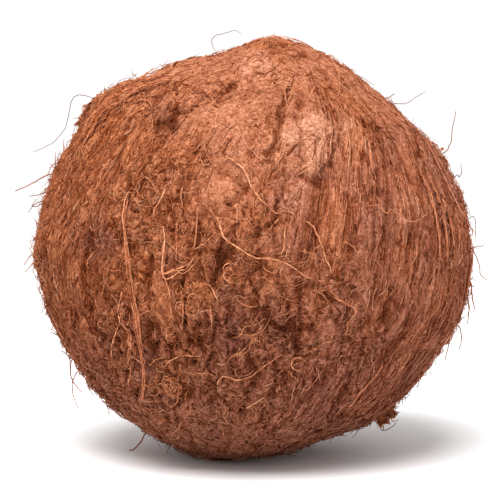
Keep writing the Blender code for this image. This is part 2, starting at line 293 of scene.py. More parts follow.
def picture_place(directions):
    """Points of the picture where directions of the form appear: offset from the eye over depth."""
    offset = directions * form_radius(directions)[..., None] + AWAY * EYE_DISTANCE
    depth = offset @ AWAY
    x = PICTURE_CENTRE[0] + (offset @ RIGHT) / depth * EYE_DISTANCE / PIXEL
    y = PICTURE_CENTRE[1] - (offset @ UP) / depth * EYE_DISTANCE / PIXEL
    return np.where((directions @ AWAY < -0.06)[..., None], np.stack((x, y), axis=-1), HIDDEN)


def line_distance(places, line):
    """Distance of each place to a line of straight runs: the least of its distances to the runs."""
    least = np.full(places.shape[:-1], np.inf)
    for start, end in zip(line[:-1], line[1:]):
        run = end - start
        share = np.clip(((places - start) @ run) / (run @ run), 0, 1)
        least = np.minimum(least, np.linalg.norm(places - start - share[..., None] * run, axis=-1))
    return least


def depth_inside(places, outline):
    """Distance from a closed outline, positive inside, where a ray crosses an odd number of edges."""
    closed = np.concatenate((outline, outline[:1]))
    inside = np.zeros(places.shape[:-1], bool)
    for (x1, y1), (x2, y2) in zip(closed[:-1], closed[1:]):
        crosses = (y1 > places[..., 1]) != (y2 > places[..., 1])
        inside ^= crosses & (places[..., 0] < (x2 - x1) * (places[..., 1] - y1) / (y2 - y1 + 1e-9) + x1)
    return line_distance(places, closed) * np.where(inside, 1, -1)


def line_marks(places, lines):
    """Sum over the lines of size times a bell curve of the distance over the width."""
    total = np.zeros(places.shape[:-1])
    for line, size, width in lines:
        total += size * np.exp(-((line_distance(places, np.array(line, float)) / width) ** 2))
    return total


def plate_marks(places, plates):
    """Largest over the plates of height times a step at its edge."""
    most = np.zeros(places.shape[:-1])
    for outline, height, edge in plates:
        inside = depth_inside(places, np.array(outline, float))
        most = np.maximum(most, height * smooth(-0.5 * edge, edge, inside))
    return most


def blobs(places, spots):
    """Largest over the spots of a flat-topped bell: e to the minus fourth power of distance over size."""
    most = np.zeros(places.shape[:-1])
    for x, y, size in spots:
        gap = np.linalg.norm(places - (x, y), axis=-1) / size
        most = np.maximum(most, np.exp(-np.minimum(gap, 9) ** 4))
    return most


# %% [markdown]
# ## Zones of the coat
#
# Pressed felt covers the pointed end and runs down the middle of the face, a tangle covers the rest of the
# face and irregular patches elsewhere, and the sides are combed. The base is felt again, pressed smooth.
# Painted masks would need an image, so each zone is a weight between 0 and 1 for every direction, with
# noise on its border so that no edge runs straight.

# %% Zones
FELT_SPOTS = (
    (232, 115, 42), (240, 165, 34), (222, 196, 30), (262, 85, 46), (300, 140, 34), (284, 194, 22),
    (162, 294, 13), (166, 320, 12),
)
TANGLE_SPOTS = (
    (148, 192, 34), (150, 235, 48), (235, 260, 60), (290, 315, 60), (200, 330, 60), (140, 320, 55),
    (240, 380, 55), (335, 290, 42), (160, 385, 42), (345, 345, 38),
)
BARE_SPOTS = (
    (312, 130, 19), (296, 145, 15), (288, 180, 12), (230, 118, 14), (246, 156, 12), (224, 192, 10),
    (161, 292, 14), (166, 318, 12), (393, 208, 17), (384, 186, 10), (400, 236, 12),
)


def zones(directions):
    """Weights of the felt at the point, the tangle and the base felt; what they leave over is combed."""
    fall = axis_angles(directions)[0]
    border = waves(directions * BARE_RADIUS, 26 * MM, seed=3)
    ragged = waves(directions * BARE_RADIUS, 8 * MM, seed=4)
    places = picture_place(directions) + 5 * np.stack((border + ragged, ragged - border), axis=-1)
    cap = smooth(math.radians(52), math.radians(30), fall + 0.08 * border)
    felt = np.maximum(cap, blobs(places, FELT_SPOTS))
    base = smooth(math.radians(128), math.radians(146), fall + 0.06 * border + 0.04 * ragged)
    facing = smooth(0.1, 0.5, -(directions @ AWAY))
    patches = smooth(0.2, 0.8, waves(directions * BARE_RADIUS, 48 * MM, seed=9)) * (1 - facing)
    tangle = np.maximum(blobs(places, TANGLE_SPOTS), patches) * (1 - felt) * (1 - base)
    return felt * (1 - base), tangle, base


# %% [markdown]
# ## Relief of the skin
#
# The skin under the loose fibres has ridges where it is combed, crumbly lumps where it is tangled, wrinkles
# in the felt and a few deep pits. A bump alone would leave the outline smooth, so the skin itself goes up
# and down. Lumps with sharp creases between them come from smooth noise folded at zero. Pressed husk that
# has lifted shows as plates with a step round them.

# %% Relief of the skin
PLATES = (
    (((300, 110), (316, 103), (328, 112), (330, 136), (328, 165), (313, 173), (303, 158),
        (300, 132)), 1.1, 1.6),
    (((286, 116), (299, 118), (299, 160), (291, 172), (276, 172), (270, 160), (280, 136)), 0.9, 1.8),
    (((334, 128), (350, 116), (366, 132), (374, 160), (378, 188), (362, 196), (346, 190),
        (336, 160)), 0.7, 2.0),
    (((120, 104), (136, 96), (150, 98), (152, 112), (148, 124), (130, 122)), 1.2, 2.0),
    (((158, 100), (190, 92), (204, 98), (192, 104), (170, 108), (156, 108)), 0.9, 1.6),
    (((208, 110), (240, 100), (252, 118), (250, 140), (230, 146), (212, 134)), 0.5, 2.4),
    (((224, 150), (262, 146), (268, 166), (250, 178), (228, 170)), 0.5, 2.4),
    (((196, 182), (214, 176), (240, 180), (243, 190), (232, 202), (204, 206)), 0.8, 2.0),
    (((151, 236), (166, 230), (176, 262), (181, 316), (172, 342), (160, 330), (152, 288)), 0.9, 1.8),
    (((184, 286), (204, 280), (212, 300), (200, 324), (186, 316)), 0.8, 2.0),
    (((224, 264), (240, 262), (244, 282), (230, 290)), 0.7, 1.8),
    (((270, 262), (292, 264), (290, 288), (272, 286)), 0.6, 1.8),
    (((262, 284), (282, 288), (276, 306), (258, 304)), 0.6, 1.8),
    (((322, 262), (344, 258), (350, 280), (332, 288)), 0.5, 1.8),
    (((236, 392), (280, 384), (300, 404), (282, 424), (244, 420)), 0.5, 3.0),
    (((120, 200), (140, 196), (146, 222), (130, 236), (118, 224)), 0.7, 2.0),
    (((352, 200), (372, 204), (370, 240), (356, 246)), 0.4, 2.0),
    (((96, 244), (114, 240), (118, 284), (104, 300)), 0.5, 2.0),
)
GROOVES = (
    (((291, 82), (285, 98), (282, 114), (276, 134), (268, 160)), 1.3, 2.6),
    (((284, 112), (298, 116)), 0.7, 2.0),
    (((331, 108), (333, 130), (331, 166)), 0.7, 2.0),
    (((300, 116), (300, 158)), 0.45, 1.8),
    (((362, 122), (371, 148), (379, 172), (382, 192)), 1.0, 2.4),
    (((346, 112), (371, 128), (386, 142)), 0.6, 2.0),
    (((391, 160), (402, 190), (409, 222), (411, 250)), 0.7, 2.0),
    (((418, 150), (432, 186), (438, 220)), 0.6, 1.8),
    (((441, 196), (450, 232), (454, 268)), 0.7, 1.8),
    (((428, 168), (441, 204), (447, 240), (447, 274)), 0.7, 1.8),
    (((411, 168), (423, 206), (431, 250), (431, 290)), 0.6, 1.8),
    (((393, 290), (390, 318), (387, 340)), 1.4, 2.6),
    (((416, 280), (414, 310), (406, 340)), 0.6, 2.0),
    (((352, 376), (344, 398), (331, 418), (318, 434)), 1.3, 2.6),
    (((362, 382), (352, 402), (338, 424)), 1.0, 2.2),
    (((223, 240), (219, 262), (214, 284)), 1.0, 4.0),
    (((247, 184), (240, 194), (228, 204)), 1.1, 3.0),
    (((285, 222), (272, 226), (262, 230)), 1.0, 2.6),
    (((154, 124), (160, 118), (170, 120)), 1.7, 4.4),
    (((170, 112), (180, 108), (189, 106)), 1.0, 2.6),
    (((217, 93), (226, 87), (232, 82)), 1.5, 2.6),
    (((97, 128), (104, 112), (118, 100)), 0.7, 2.4),
    (((180, 284), (184, 318), (182, 344)), 1.0, 3.2),
    (((148, 240), (147, 290), (152, 340), (152, 388)), 0.9, 2.8),
    (((296, 340), (297, 362), (296, 378)), 0.9, 3.0),
    (((232, 330), (226, 352)), 0.9, 3.4),
    (((256, 308), (276, 326), (290, 330)), 0.9, 3.4),
    (((287, 178), (284, 194), (276, 206)), 0.8, 2.2),
    (((168, 262), (176, 262)), 1.2, 4.0),
    (((305, 174), (318, 184)), 0.8, 4.0),
    (((328, 300), (333, 302)), 1.0, 4.0),
    (((302, 328), (308, 330)), 1.0, 5.0),
    (((280, 42), (282, 42)), 0.8, 2.6),
    (((300, 52), (302, 53)), 1.0, 3.4),
    (((84, 196), (90, 222), (92, 250)), 0.7, 3.0),
    (((260, 226), (258, 238)), 0.9, 3.0),
)
RIBS = (
    (((309, 104), (313, 130), (315, 160)), 0.5, 2.4),
    (((345, 396), (337, 412), (324, 430)), 0.9, 2.4),
    (((160, 274), (162, 300), (164, 324)), 0.4, 4.0),
    (((424, 160), (438, 200), (444, 240)), 0.5, 2.4),
    (((432, 176), (443, 208), (449, 244), (450, 276)), 0.5, 1.8),
    (((447, 196), (455, 230), (458, 264)), 0.5, 1.6),
    (((404, 168), (417, 204), (425, 250), (426, 290)), 0.4, 1.8),
)
THREAD_STRETCH = 0.12
RIDGE_STRETCH = 0.05
TUFT_STRETCH = 0.35
FIBRE_ROOM = 0.6


def creased(points, length, seed):
    """Lumps with sharp creases between them: the size of smooth noise, less its mean."""
    return np.abs(waves(points, length, seed)) - 0.8


def comb_place(directions, stretch):
    """Places in which the combing runs up: cosine and sine of the swept angle, and the shortened fall."""
    fall, turn = axis_angles(directions)
    swept = turn - twist(fall)
    return np.stack((np.cos(swept), np.sin(swept), stretch * fall), axis=-1) * BARE_RADIUS


def local_relief(directions):
    """Height in millimetres: a line for each kind of relief, its wave length, then its height by zone."""
    fall, turn = axis_angles(directions)
    felt, tangle, base = zones(directions)
    comb = 1 - np.maximum(np.maximum(felt, tangle), base)
    spots = directions * BARE_RADIUS
    tall = spots * np.array((1, 1, 0.5))
    width = np.minimum(1, 1.3 * np.sin(fall))
    ridges = combed(turn - twist(fall), fall, RIDGE_COUNTS, RIDGE_DRIFT, seed=5) * (0.10 + 0.14 * comb)
    strings = creased(comb_place(directions, RIDGE_STRETCH), 4.2 * MM, seed=26) * (0.06 + 0.18 * comb)
    threads = creased(comb_place(directions, THREAD_STRETCH), 2.0 * MM, seed=27) * (0.05 + 0.28 * comb)
    far_left = smooth(0.3, -0.5, directions @ RIGHT)
    tufts = creased(comb_place(directions, TUFT_STRETCH), 7 * MM, seed=33) * 0.22 * comb * far_left
    left = smooth(0.3, -0.4, directions @ RIGHT)
    below = smooth(0.1, -0.6, directions[..., 2])
    calm = 0.6 + 0.4 * smooth(math.radians(12), math.radians(38), fall) + 0.4 * below
    clods = creased(tall, 6.5 * MM, seed=22) * (0.07 + 0.08 * felt + 0.08 * left + 0.44 * tangle)
    crumbs = creased(tall, 2.9 * MM, seed=23) * (0.06 + 0.04 * felt + 0.08 * left + 0.36 * tangle)
    specks = creased(spots, 1.5 * MM, seed=30) * (0.10 + 0.06 * tangle)
    cracks = 0.40 * np.exp(-((waves(tall, 8 * MM, seed=24) / 0.08) ** 2)) * felt
    pocks = 0.9 * smooth(2.1, 3.0, waves(spots, 10 * MM, seed=25)) * (1 - comb)
    wobble = 1.5 * np.stack((waves(spots, 5 * MM, seed=28), waves(spots, 5 * MM, seed=29)), axis=-1)
    wobble += 0.9 * np.stack((waves(spots, 2 * MM, seed=31), waves(spots, 2 * MM, seed=32)), axis=-1)
    places = picture_place(directions) + wobble
    marks = plate_marks(places, PLATES) + line_marks(places, RIBS) - line_marks(places, GROOVES)
    combing = (ridges + strings + threads + tufts) * width
    return combing + (clods + crumbs + specks) * calm - cracks - pocks + marks


def skin_radius(directions, local=None):
    """Radius of the skin under the loose fibres: form, broad lumps and local relief."""
    if local is None:
        local = local_relief(directions)
    lumps = 0.38 * waves(directions * BARE_RADIUS, 19 * MM, seed=21)
    return form_radius(directions) + (lumps + local - FIBRE_ROOM) * MM


# %% [markdown]
# ## Putting arrays into meshes
#
# Every piece below ends as arrays of vertices and triangles. One helper writes them into a mesh, moves the
# shape to the nut's centre, adds colours and other values for the material to read, and ties the piece to
# the frame.

# %% Meshes from arrays
made_pieces = []


def make_piece(name, vertices, triangles, material, colours, values=None):
    """A mesh object from arrays, with linear colours and named numbers or vectors for each vertex."""
    mesh = bpy.data.meshes.new(name)
    mesh.vertices.add(len(vertices))
    mesh.vertices.foreach_set("co", (vertices + CENTRE).astype(np.float32).ravel())
    mesh.loops.add(triangles.size)
    mesh.loops.foreach_set("vertex_index", triangles.astype(np.int32).ravel())
    mesh.polygons.add(len(triangles))
    mesh.polygons.foreach_set("loop_start", np.arange(0, triangles.size, 3, dtype=np.int32))
    mesh.update(calc_edges=True)
    mesh.shade_smooth()
    tint = mesh.attributes.new("tint", "FLOAT_COLOR", "POINT")
    opaque = np.append(colours, np.ones((len(colours), 1)), axis=1)
    tint.data.foreach_set("color", opaque.astype(np.float32).ravel())
    for key, numbers in (values or {}).items():
        kind, field = ("FLOAT_VECTOR", "vector") if numbers.ndim == 2 else ("FLOAT", "value")
        layer = mesh.attributes.new(key, kind, "POINT")
        layer.data.foreach_set(field, numbers.astype(np.float32).ravel())
    mesh.materials.append(material)
    piece = bpy.data.objects.new(name, mesh)
    bpy.context.scene.collection.objects.link(piece)
    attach(piece, "root")
    corners = vertices[triangles]
    volume = np.einsum("ij,ij->i", corners[:, 0], np.cross(corners[:, 1], corners[:, 2])).sum() / 6
    print(f"{name}: {len(triangles)} triangles, {volume * 1e6:.2f} cubic cm")
    made_pieces.append((name, len(triangles)))
    return piece


# %% [markdown]
# ## Shader sums
#
# A material is easier to read as a sum than as a web of nodes. This small class wraps a socket, so that
# adding or multiplying sockets makes the nodes.

# %% Shader sums
class Link:
    """A shader socket that takes part in Python sums: each sum adds its Math node."""

    def __init__(self, finish, socket):
        self.finish = finish
        self.socket = socket

    def sum(self, operation, first, second):
        """One Math node of two numbers or sockets."""
        return self.finish.add("ShaderNodeMath", {"operation": operation}, {0: first, 1: second})

    def __add__(self, other):
        return self.sum("ADD", self, other)

    def __radd__(self, other):
        return self.sum("ADD", other, self)

    def __sub__(self, other):
        return self.sum("SUBTRACT", self, other)

    def __rsub__(self, other):
        return self.sum("SUBTRACT", other, self)

    def __mul__(self, other):
        return self.sum("MULTIPLY", self, other)

    def __rmul__(self, other):
        return self.sum("MULTIPLY", other, self)

    def clamped(self):
        """The value kept between 0 and 1."""
        return self.finish.add("ShaderNodeClamp", {}, {0: self})


class Finish:
    """A material being built: its nodes, and the Principled shader that they feed."""

    def __init__(self, name, **constants):
        self.material = bpy.data.materials.new(name)
        self.material.use_nodes = True
        self.tree = self.material.node_tree
        self.shader = self.tree.nodes["Principled BSDF"]
        for key, value in constants.items():
            self.shader.inputs[key.replace("_", " ")].default_value = value

    def add(self, kind, settings, inputs, output=0):
        """One node with its settings and the values or links of its sockets; gives back one output."""
        node = self.tree.nodes.new(kind)
        for key, value in settings.items():
            setattr(node, key, value)
        for key, value in inputs.items():
            self.put(node.inputs[key], value)
        return Link(self, node.outputs[output])

    def put(self, socket, value):
        """Link a socket, or set its value."""
        if isinstance(value, Link):
            self.tree.links.new(value.socket, socket)
        else:
            socket.default_value = value

    def attribute(self, name, output="Fac"):
        """A number, colour or vector that the mesh carries."""
        return self.add("ShaderNodeAttribute", {"attribute_name": name}, {}, output)

    def texture(self, kind, vector, scale, layers, extra):
        """One noise node: its scale is repeats a metre, and layers are detail, roughness and distortion."""
        detail, roughness, distortion = layers
        inputs = {"Vector": vector, "Scale": scale, "Detail": detail, "Roughness": roughness}
        inputs = inputs | {"Distortion": distortion} | extra
        return self.add("ShaderNodeTexNoise", {"noise_type": kind, "normalize": True}, inputs)

    def noise(self, vector, scale, detail, roughness=0.6, distortion=0.0):
        """Noise between 0 and 1."""
        return self.texture("FBM", vector, scale, (detail, roughness, distortion), {})

    def ridges(self, vector, scale, detail, roughness=0.6, distortion=0.0):
        """Bright crests along winding lines: one less the size of smooth noise, squared."""
        crests = {"Offset": 1.0, "Gain": 2.0}
        return self.texture("RIDGED_MULTIFRACTAL", vector, scale, (detail, roughness, distortion), crests)

    def mix(self, share, first, second):
        """Two colours mixed by a share."""
        return self.add("ShaderNodeMix", {"data_type": "RGBA"}, {0: share, 6: first, 7: second}, output=2)

    def tinged(self, colour, factors):
        """A colour with its red, green and blue each multiplied by its own factor."""
        return self.add("ShaderNodeVectorMath", {"operation": "MULTIPLY"}, {0: colour, 1: factors})

    def range(self, value, low, high, new_low, new_high):
        """A value stretched from one range to another, and kept inside it."""
        inputs = {"Value": value, "From Min": low, "From Max": high, "To Min": new_low, "To Max": new_high}
        return self.add("ShaderNodeMapRange", {"clamp": True}, inputs)

    def surface(self, colour, roughness, height, strength, depth):
        """Feed the shader its colour, its roughness, and a bump of that depth from a height."""
        self.put(self.shader.inputs["Base Color"], colour)
        self.put(self.shader.inputs["Roughness"], roughness)
        bump = self.add("ShaderNodeBump", {}, {"Strength": strength, "Distance": depth, "Height": height})
        self.put(self.shader.inputs["Normal"], bump)


# %% [markdown]
# ## Colours of coir
#
# Coir is reddish brown. On this nut it is more orange at the upper left and in the curls, and paler and
# pinker in the felt at the point. Painted shade darkens it in the hollows between fibres and, with a violet
# cast, low down, and a little painted light brightens the very top. One colour for each layer would look
# flat, so the named colours are mixed by zone and by noise.

# %% Colours of coir
UMBER = np.array((0.200, 0.055, 0.024))
RUSSET = np.array((0.378, 0.124, 0.053))
ROSE = np.array((0.420, 0.148, 0.078))
ORANGE = np.array((0.520, 0.175, 0.066))
TAN = np.array((0.585, 0.232, 0.122))
PALE = np.array((0.700, 0.330, 0.195))
VIOLET = np.array((0.180, 0.080, 0.070))
GREY_ROSE = np.array((0.460, 0.200, 0.130))
STRAND = np.array((0.640, 0.285, 0.150))
DEEPENING = np.array((0.92, 1.36, 1.72))
PALE_SPOTS = ((312, 135, 20), (318, 160, 12), (288, 145, 14), (345, 130, 10), (254, 62, 15))
ORANGE_SPOTS = (
    (262, 42, 13), (286, 47, 13), (190, 298, 17), (232, 274, 12), (172, 340, 10), (280, 273, 14),
    (172, 384, 15), (108, 130, 26), (161, 294, 15), (166, 320, 12), (334, 86, 14), (356, 104, 14),
)
# Spots of painted shade, in pits, gaps and below the flap's edge, and of darker coat.
SHADE_AND_DARK_SPOTS = (
    (166, 122, 13), (225, 335, 30), (282, 328, 26), (222, 262, 11), (150, 360, 16), (318, 178, 9),
    (95, 240, 24), (338, 420, 10),
)
# Grey-rose patches of coat, and near the right edge a painted sheen.
ROSE_AND_SHEEN_SPOTS = ((290, 195, 20), (400, 215, 26), (410, 130, 16), (436, 165, 16))


def blend(share, first, second):
    """First colour to second colour by a share for each point."""
    share = np.asarray(share)[..., None]
    return first * (1 - share) + second * share


def deepened(colours, factors):
    """Colours times powers of a factor: darker fibre loses green and blue faster than red."""
    return colours * np.asarray(factors)[..., None] ** DEEPENING


def coat_tint(directions):
    """The coat's colour: tan felt at the point, russet sides, orange patches, painted shade low, painted
    light on top.
    """
    felt, _, base = zones(directions)
    spots = directions * BARE_RADIUS
    patches = smooth(0.2, 1.5, waves(spots, 17 * MM, seed=41))
    old_husk = smooth(0.9, 1.8, waves(spots, 13 * MM, seed=42))
    tint = blend(smooth(-0.5, 0.6, directions @ RIGHT), RUSSET, ROSE)
    tint = blend(0.35 * patches, tint, ORANGE)
    upper_left = smooth(0.1, 0.7, directions[..., 2] - 0.4 * (directions @ RIGHT))
    tint = blend(0.35 * upper_left, tint, 0.5 * (ORANGE + TAN))
    tint = blend(0.75 * felt, tint, 0.95 * TAN)
    tint = blend(0.60 * base, tint, GREY_ROSE * 0.92)
    # Painted shade: towards the bottom, which the light from above reaches less, the coat turns darker and
    # violet.
    lower = smooth(0.1, -0.8, directions[..., 2]) * (1 - base)
    tint = blend(0.30 * lower, tint, VIOLET * 1.3)
    tint = blend(0.22 * old_husk * (1 - felt), tint, VIOLET)
    ragged = np.stack((waves(spots, 7 * MM, seed=43), waves(spots, 7 * MM, seed=44)), axis=-1)
    ragged += 0.6 * np.stack((waves(spots, 2.5 * MM, seed=45), waves(spots, 2.5 * MM, seed=46)), axis=-1)
    places = picture_place(directions) + 4 * ragged
    tint = blend(0.55 * blobs(places, ORANGE_SPOTS), tint, ORANGE)
    # Painted shade and darker coat: at these spots the coat goes towards umber and violet.
    tint = blend(0.60 * blobs(places, SHADE_AND_DARK_SPOTS), tint, 0.4 * UMBER + 0.6 * VIOLET)
    # Grey-rose coat, and a painted sheen near the right edge.
    tint = blend(0.60 * blobs(places, ROSE_AND_SHEEN_SPOTS), tint, GREY_ROSE)
    tint = blend(0.70 * blobs(places, PALE_SPOTS), tint, PALE)
    # Painted light: the very top is made up to 4 per cent lighter.
    return tint * (1 + 0.04 * smooth(0.7, 0.95, directions[..., 2]))[..., None]


def hollow_shade(local):
    """Painted shade in hollows: the factor on the coat's colour, 1 above 0.25 mm of relief, a half below
    -0.8 mm.
    """
    return 0.50 + 0.50 * smooth(-0.8, 0.25, local)


# %% [markdown]
# ## The skin
#
# The skin is the coat's under-layer and carries the nut's whole form, so it stands for the solid. Its
# material could be a painted image, but noise made for each zone shows no seam and no repeat: fine streaks
# where the coat is combed, curly grain where it is tangled, and a smooth grain where it is felted.

# %% Material of the skin
STREAK_SCALE = 950
CRUMB_SCALE = 900
CURL_SCALE = 480
GAP_SCALE = 430
CREASE_SCALE = 330
GRAIN_SCALE = 2000
SKIN_HOLLOW_SHADE = (0.34, 0.175, 0.11)
SKIN_CREST = (1.25, 1.42, 1.55)
SKIN_BUMP = 0.45 * MM


def skin_finish():
    """Fine streaks along the combing, curly grain in the tangles, painted shade between them, and a bump
    from both.
    """
    finish = Finish("coir_skin", Roughness=0.95, Specular_IOR_Level=0.015)
    place = finish.add("ShaderNodeTexCoord", {}, {}, "Object")
    combing = finish.attribute("comb", "Vector")
    streaks = finish.range(finish.noise(combing, STREAK_SCALE, 4, 0.65), 0.38, 0.62, 0, 1)
    crumbs = finish.range(finish.noise(place, CRUMB_SCALE, 4, 0.72, 0.4), 0.36, 0.64, 0, 1)
    curls = finish.range(finish.ridges(place, CURL_SCALE, 4, 0.75, 1.6), 0.9, 2.1, 0, 1)
    creases = finish.range(finish.ridges(place, CREASE_SCALE, 4, 0.7, 1.0), 1.5, 2.0, 0, 1)
    grain = finish.range(finish.noise(place, GRAIN_SCALE, 2, 0.6), 0.36, 0.64, 0, 1)
    gaps = finish.range(finish.ridges(combing, GAP_SCALE, 3, 0.7, 0.6), 1.45, 2.0, 0, 1)
    comb = finish.attribute("combed")
    felt = finish.attribute("felted")
    pressed = crumbs * 0.66 + 0.11 - creases * 0.13
    tangled = crumbs * 0.65 + curls * 0.65 - 0.20
    stringy = streaks * 0.50 + crumbs * 0.62 - gaps * 0.34 + 0.02
    pattern = stringy * comb + pressed * felt + tangled * (1 - comb - felt)
    pattern = (pattern * 0.8 + grain * 0.40 - 0.07).clamped()
    tint = finish.attribute("tint", "Color")
    # Where the pattern is low, in gaps, creases and between streaks, the colour goes dark: painted shade,
    # over fibre that is darker too.
    colour = finish.mix(pattern, finish.tinged(tint, SKIN_HOLLOW_SHADE), finish.tinged(tint, SKIN_CREST))
    finish.surface(colour, finish.range(grain, 0.3, 0.7, 0.85, 1.0), pattern, 0.8, SKIN_BUMP)
    return finish.material


# %% [markdown]
# ## The grid of the skin
#
# The skin could be a subdivided ball with a displacement modifier. Worked out as one array, its columns can
# follow the combing, so that ridges run along the edges of the mesh and not across them. The two parameters
# are the angle from the pointed end and the swept angle round the axis. The columns stand closer on the
# face, where most of the detail is, and the bottom is pressed flat at the level of the floor.

# %% The skin
SKIN_COLUMNS = 396
SKIN_RINGS = 250
SKIN_CROWDING = 0.35


def skin_grid():
    """Directions on a grid: rings from pole to pole, columns that sweep round with the combing."""
    fall = np.linspace(0, math.pi, SKIN_RINGS + 1)[1:-1]
    even = np.arange(SKIN_COLUMNS) * 2 * math.pi / SKIN_COLUMNS
    swept = even - SKIN_CROWDING * np.sin(even + math.pi / 2)
    fall, swept = np.meshgrid(fall, swept, indexing="ij")
    turn = swept + twist(fall)
    local = np.stack((np.sin(fall) * np.cos(turn), np.sin(fall) * np.sin(turn), np.cos(fall)), axis=-1)
    poles = np.array(((0, 0, 1), (0, 0, -1)), float)
    return np.concatenate((local.reshape(-1, 3), poles)) @ AXIS_TURN.T


def skin_triangles():
    """Two triangles for each cell of the grid, and a fan at each pole, all facing outwards."""
    rings = SKIN_RINGS - 1
    ring = np.arange(SKIN_COLUMNS)
    after = (ring + 1) % SKIN_COLUMNS
    row = np.arange(rings - 1)[:, None] * SKIN_COLUMNS
    a, b = row + ring, row + after
    c, d = b + SKIN_COLUMNS, a + SKIN_COLUMNS
    cells = np.concatenate((np.stack((a, d, c), -1).reshape(-1, 3), np.stack((a, c, b), -1).reshape(-1, 3)))
    top, bottom = rings * SKIN_COLUMNS, rings * SKIN_COLUMNS + 1
    last = (rings - 1) * SKIN_COLUMNS
    top_fan = np.stack((np.full_like(ring, top), ring, after), -1)
    bottom_fan = np.stack((np.full_like(ring, bottom), last + after, last + ring), -1)
    return np.concatenate((cells, top_fan, bottom_fan))


directions = skin_grid()
local = local_relief(directions)
points = directions * skin_radius(directions, local)[:, None]
points[:, 2] = np.maximum(points[:, 2], FLOOR)
fall = axis_angles(directions)[0]
felt, tangle, base = zones(directions)
print("local relief, mm:", np.percentile(local, (1, 10, 50, 90, 99)).round(2))
# Painted shade: the skin's colour is darkened where its relief lies low.
skin_tint = deepened(coat_tint(directions), hollow_shade(local))
pressed = np.maximum(felt, 0.8 * base)
skin_values = {
    "comb": comb_place(directions, THREAD_STRETCH),
    "combed": (1 - np.maximum(tangle, pressed)) * smooth(0.15, 0.5, np.sin(fall)),
    "felted": pressed,
}
skin = make_piece("skin", points, skin_triangles(), skin_finish(), skin_tint, skin_values)
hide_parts("coconut")

# %% [markdown]
# ## Growing fibres
#
# A fibre is a short walk over the surface. It starts somewhere, sets off at an angle to the combing, and
# bends a little at each step. All fibres of a layer take their steps together, as rows of one array. A
# fibre that follows the combing is pulled back towards it at each step, and one in a tangle wanders.

# %% Growing fibres
def even_directions(count, rng, spread):
    """Places spread evenly over a ball by the golden angle, then shaken by a share of their spacing."""
    number = np.arange(count) + 0.5
    height = 1 - 2 * number / count
    turn = number * math.pi * (3 - math.sqrt(5))
    ring = np.sqrt(1 - height**2)
    places = np.stack((ring * np.cos(turn), ring * np.sin(turn), height), -1)
    return unit(places + rng.normal(0, spread * math.sqrt(4 * math.pi / count), places.shape))


def turned(tangents, normals, angles):
    """Tangents turned about the normals: cosine times the tangent plus sine times normal cross tangent."""
    angles = angles[..., None]
    return tangents * np.cos(angles) + np.cross(normals, tangents) * np.sin(angles)


def grow(starts, headings, lengths, bends, follow):
    """Directions along each fibre: equal steps on great circles, turned by its bends and the combing."""
    place = starts
    course = turned(comb_course(place), place, headings)
    step = (lengths / bends.shape[1] / BARE_RADIUS)[:, None]
    path = [place]
    for bend in bends.T:
        course = turned(course, place, bend)
        pull = comb_course(place)
        pull = pull * np.sign((pull * course).sum(-1, keepdims=True))
        course = unit(course * (1 - follow) + pull * follow)
        moved = unit(place * np.cos(step) + course * np.sin(step))
        course = unit(course - (course * moved).sum(-1, keepdims=True) * moved)
        place = moved
        path.append(place)
    return np.stack(path, axis=1)


def tube_triangles(fibres, points_each, sides):
    """Triangles of closed tubes: strips between the rings, a cap at the root and one at the tip."""
    ring = np.arange(sides)
    after = (ring + 1) % sides
    row = np.arange(points_each - 1)[:, None] * sides
    a, b = row + ring, row + after
    c, d = b + sides, a + sides
    side = np.concatenate((np.stack((a, b, c), -1).reshape(-1, 3), np.stack((a, c, d), -1).reshape(-1, 3)))
    fan = np.stack((np.zeros(sides - 2, int), np.arange(1, sides - 1), np.arange(2, sides)), -1)
    tip = fan + (points_each - 1) * sides
    one = np.concatenate((side, fan[:, ::-1], tip))
    offsets = np.arange(fibres)[:, None, None] * points_each * sides
    return (one + offsets).reshape(-1, 3)


def tubes(points, radii, sides=3):
    """Tubes round paths: each ring stands square to the path, one axis away from the nut's centre."""
    tangent = unit(np.gradient(points, axis=1))
    outward = unit(unit(points) + np.array((0.11, 0.07, 0.09)))
    side = unit(np.cross(tangent, outward))
    up = np.cross(tangent, side)
    angle = np.arange(sides) * 2 * math.pi / sides
    ring = side[:, :, None] * np.cos(angle)[:, None] + up[:, :, None] * np.sin(angle)[:, None]
    vertices = points[:, :, None] + ring * radii[:, :, None, None]
    return vertices.reshape(-1, 3), tube_triangles(len(points), points.shape[1], sides)


# %% [markdown]
# ## Material of the fibres
#
# Each fibre carries its own colour. An image along each fibre would need its own layout, so the material
# adds mottling by place: coarse and matt for felt, finer for fibre, and a little glossier on the longer
# strands, since coir is a hard, waxy fibre.

# %% Material of the fibres
FIBRE_HOLLOW = (0.58, 0.42, 0.35)
FIBRE_CREST = (1.25, 1.38, 1.45)


def fibre_finish(name, roughness, scale, depth):
    """The fibre's own colour, mottled, with roughness and a fine bump that vary with the mottling."""
    finish = Finish(name, Roughness=roughness, Specular_IOR_Level=0.025)
    place = finish.add("ShaderNodeTexCoord", {}, {}, "Object")
    mottle = finish.noise(place, scale, 4, 0.75, 0.8)
    tint = finish.attribute("tint", "Color")
    share = finish.range(mottle, 0.37, 0.63, 0, 1)
    colour = finish.mix(share, finish.tinged(tint, FIBRE_HOLLOW), finish.tinged(tint, FIBRE_CREST))
    varied = finish.range(mottle, 0.3, 0.7, roughness - 0.1, roughness + 0.05)
    finish.surface(colour, varied, mottle, 1.0, depth * MM)
    return finish.material


felted = fibre_finish("coir_felt", 0.95, 1500, 0.6)
matt_fibre = fibre_finish("coir_fibre", 0.9, 1300, 0.1)
waxy_fibre = fibre_finish("coir_strand", 0.65, 600, 0.05)


# %% [markdown]
# ## Layers of fibre
#
# Each layer is one call with its own numbers: how many fibres, how long, how thick, how much they bend and
# how far they stand off the skin. A weight for every place says where the layer grows. Where the coat is
# combed a fibre keeps to the combing, and where it is tangled it wanders. Fibres lean on the skin at both
# ends, and a share of them lifts free at the tip.

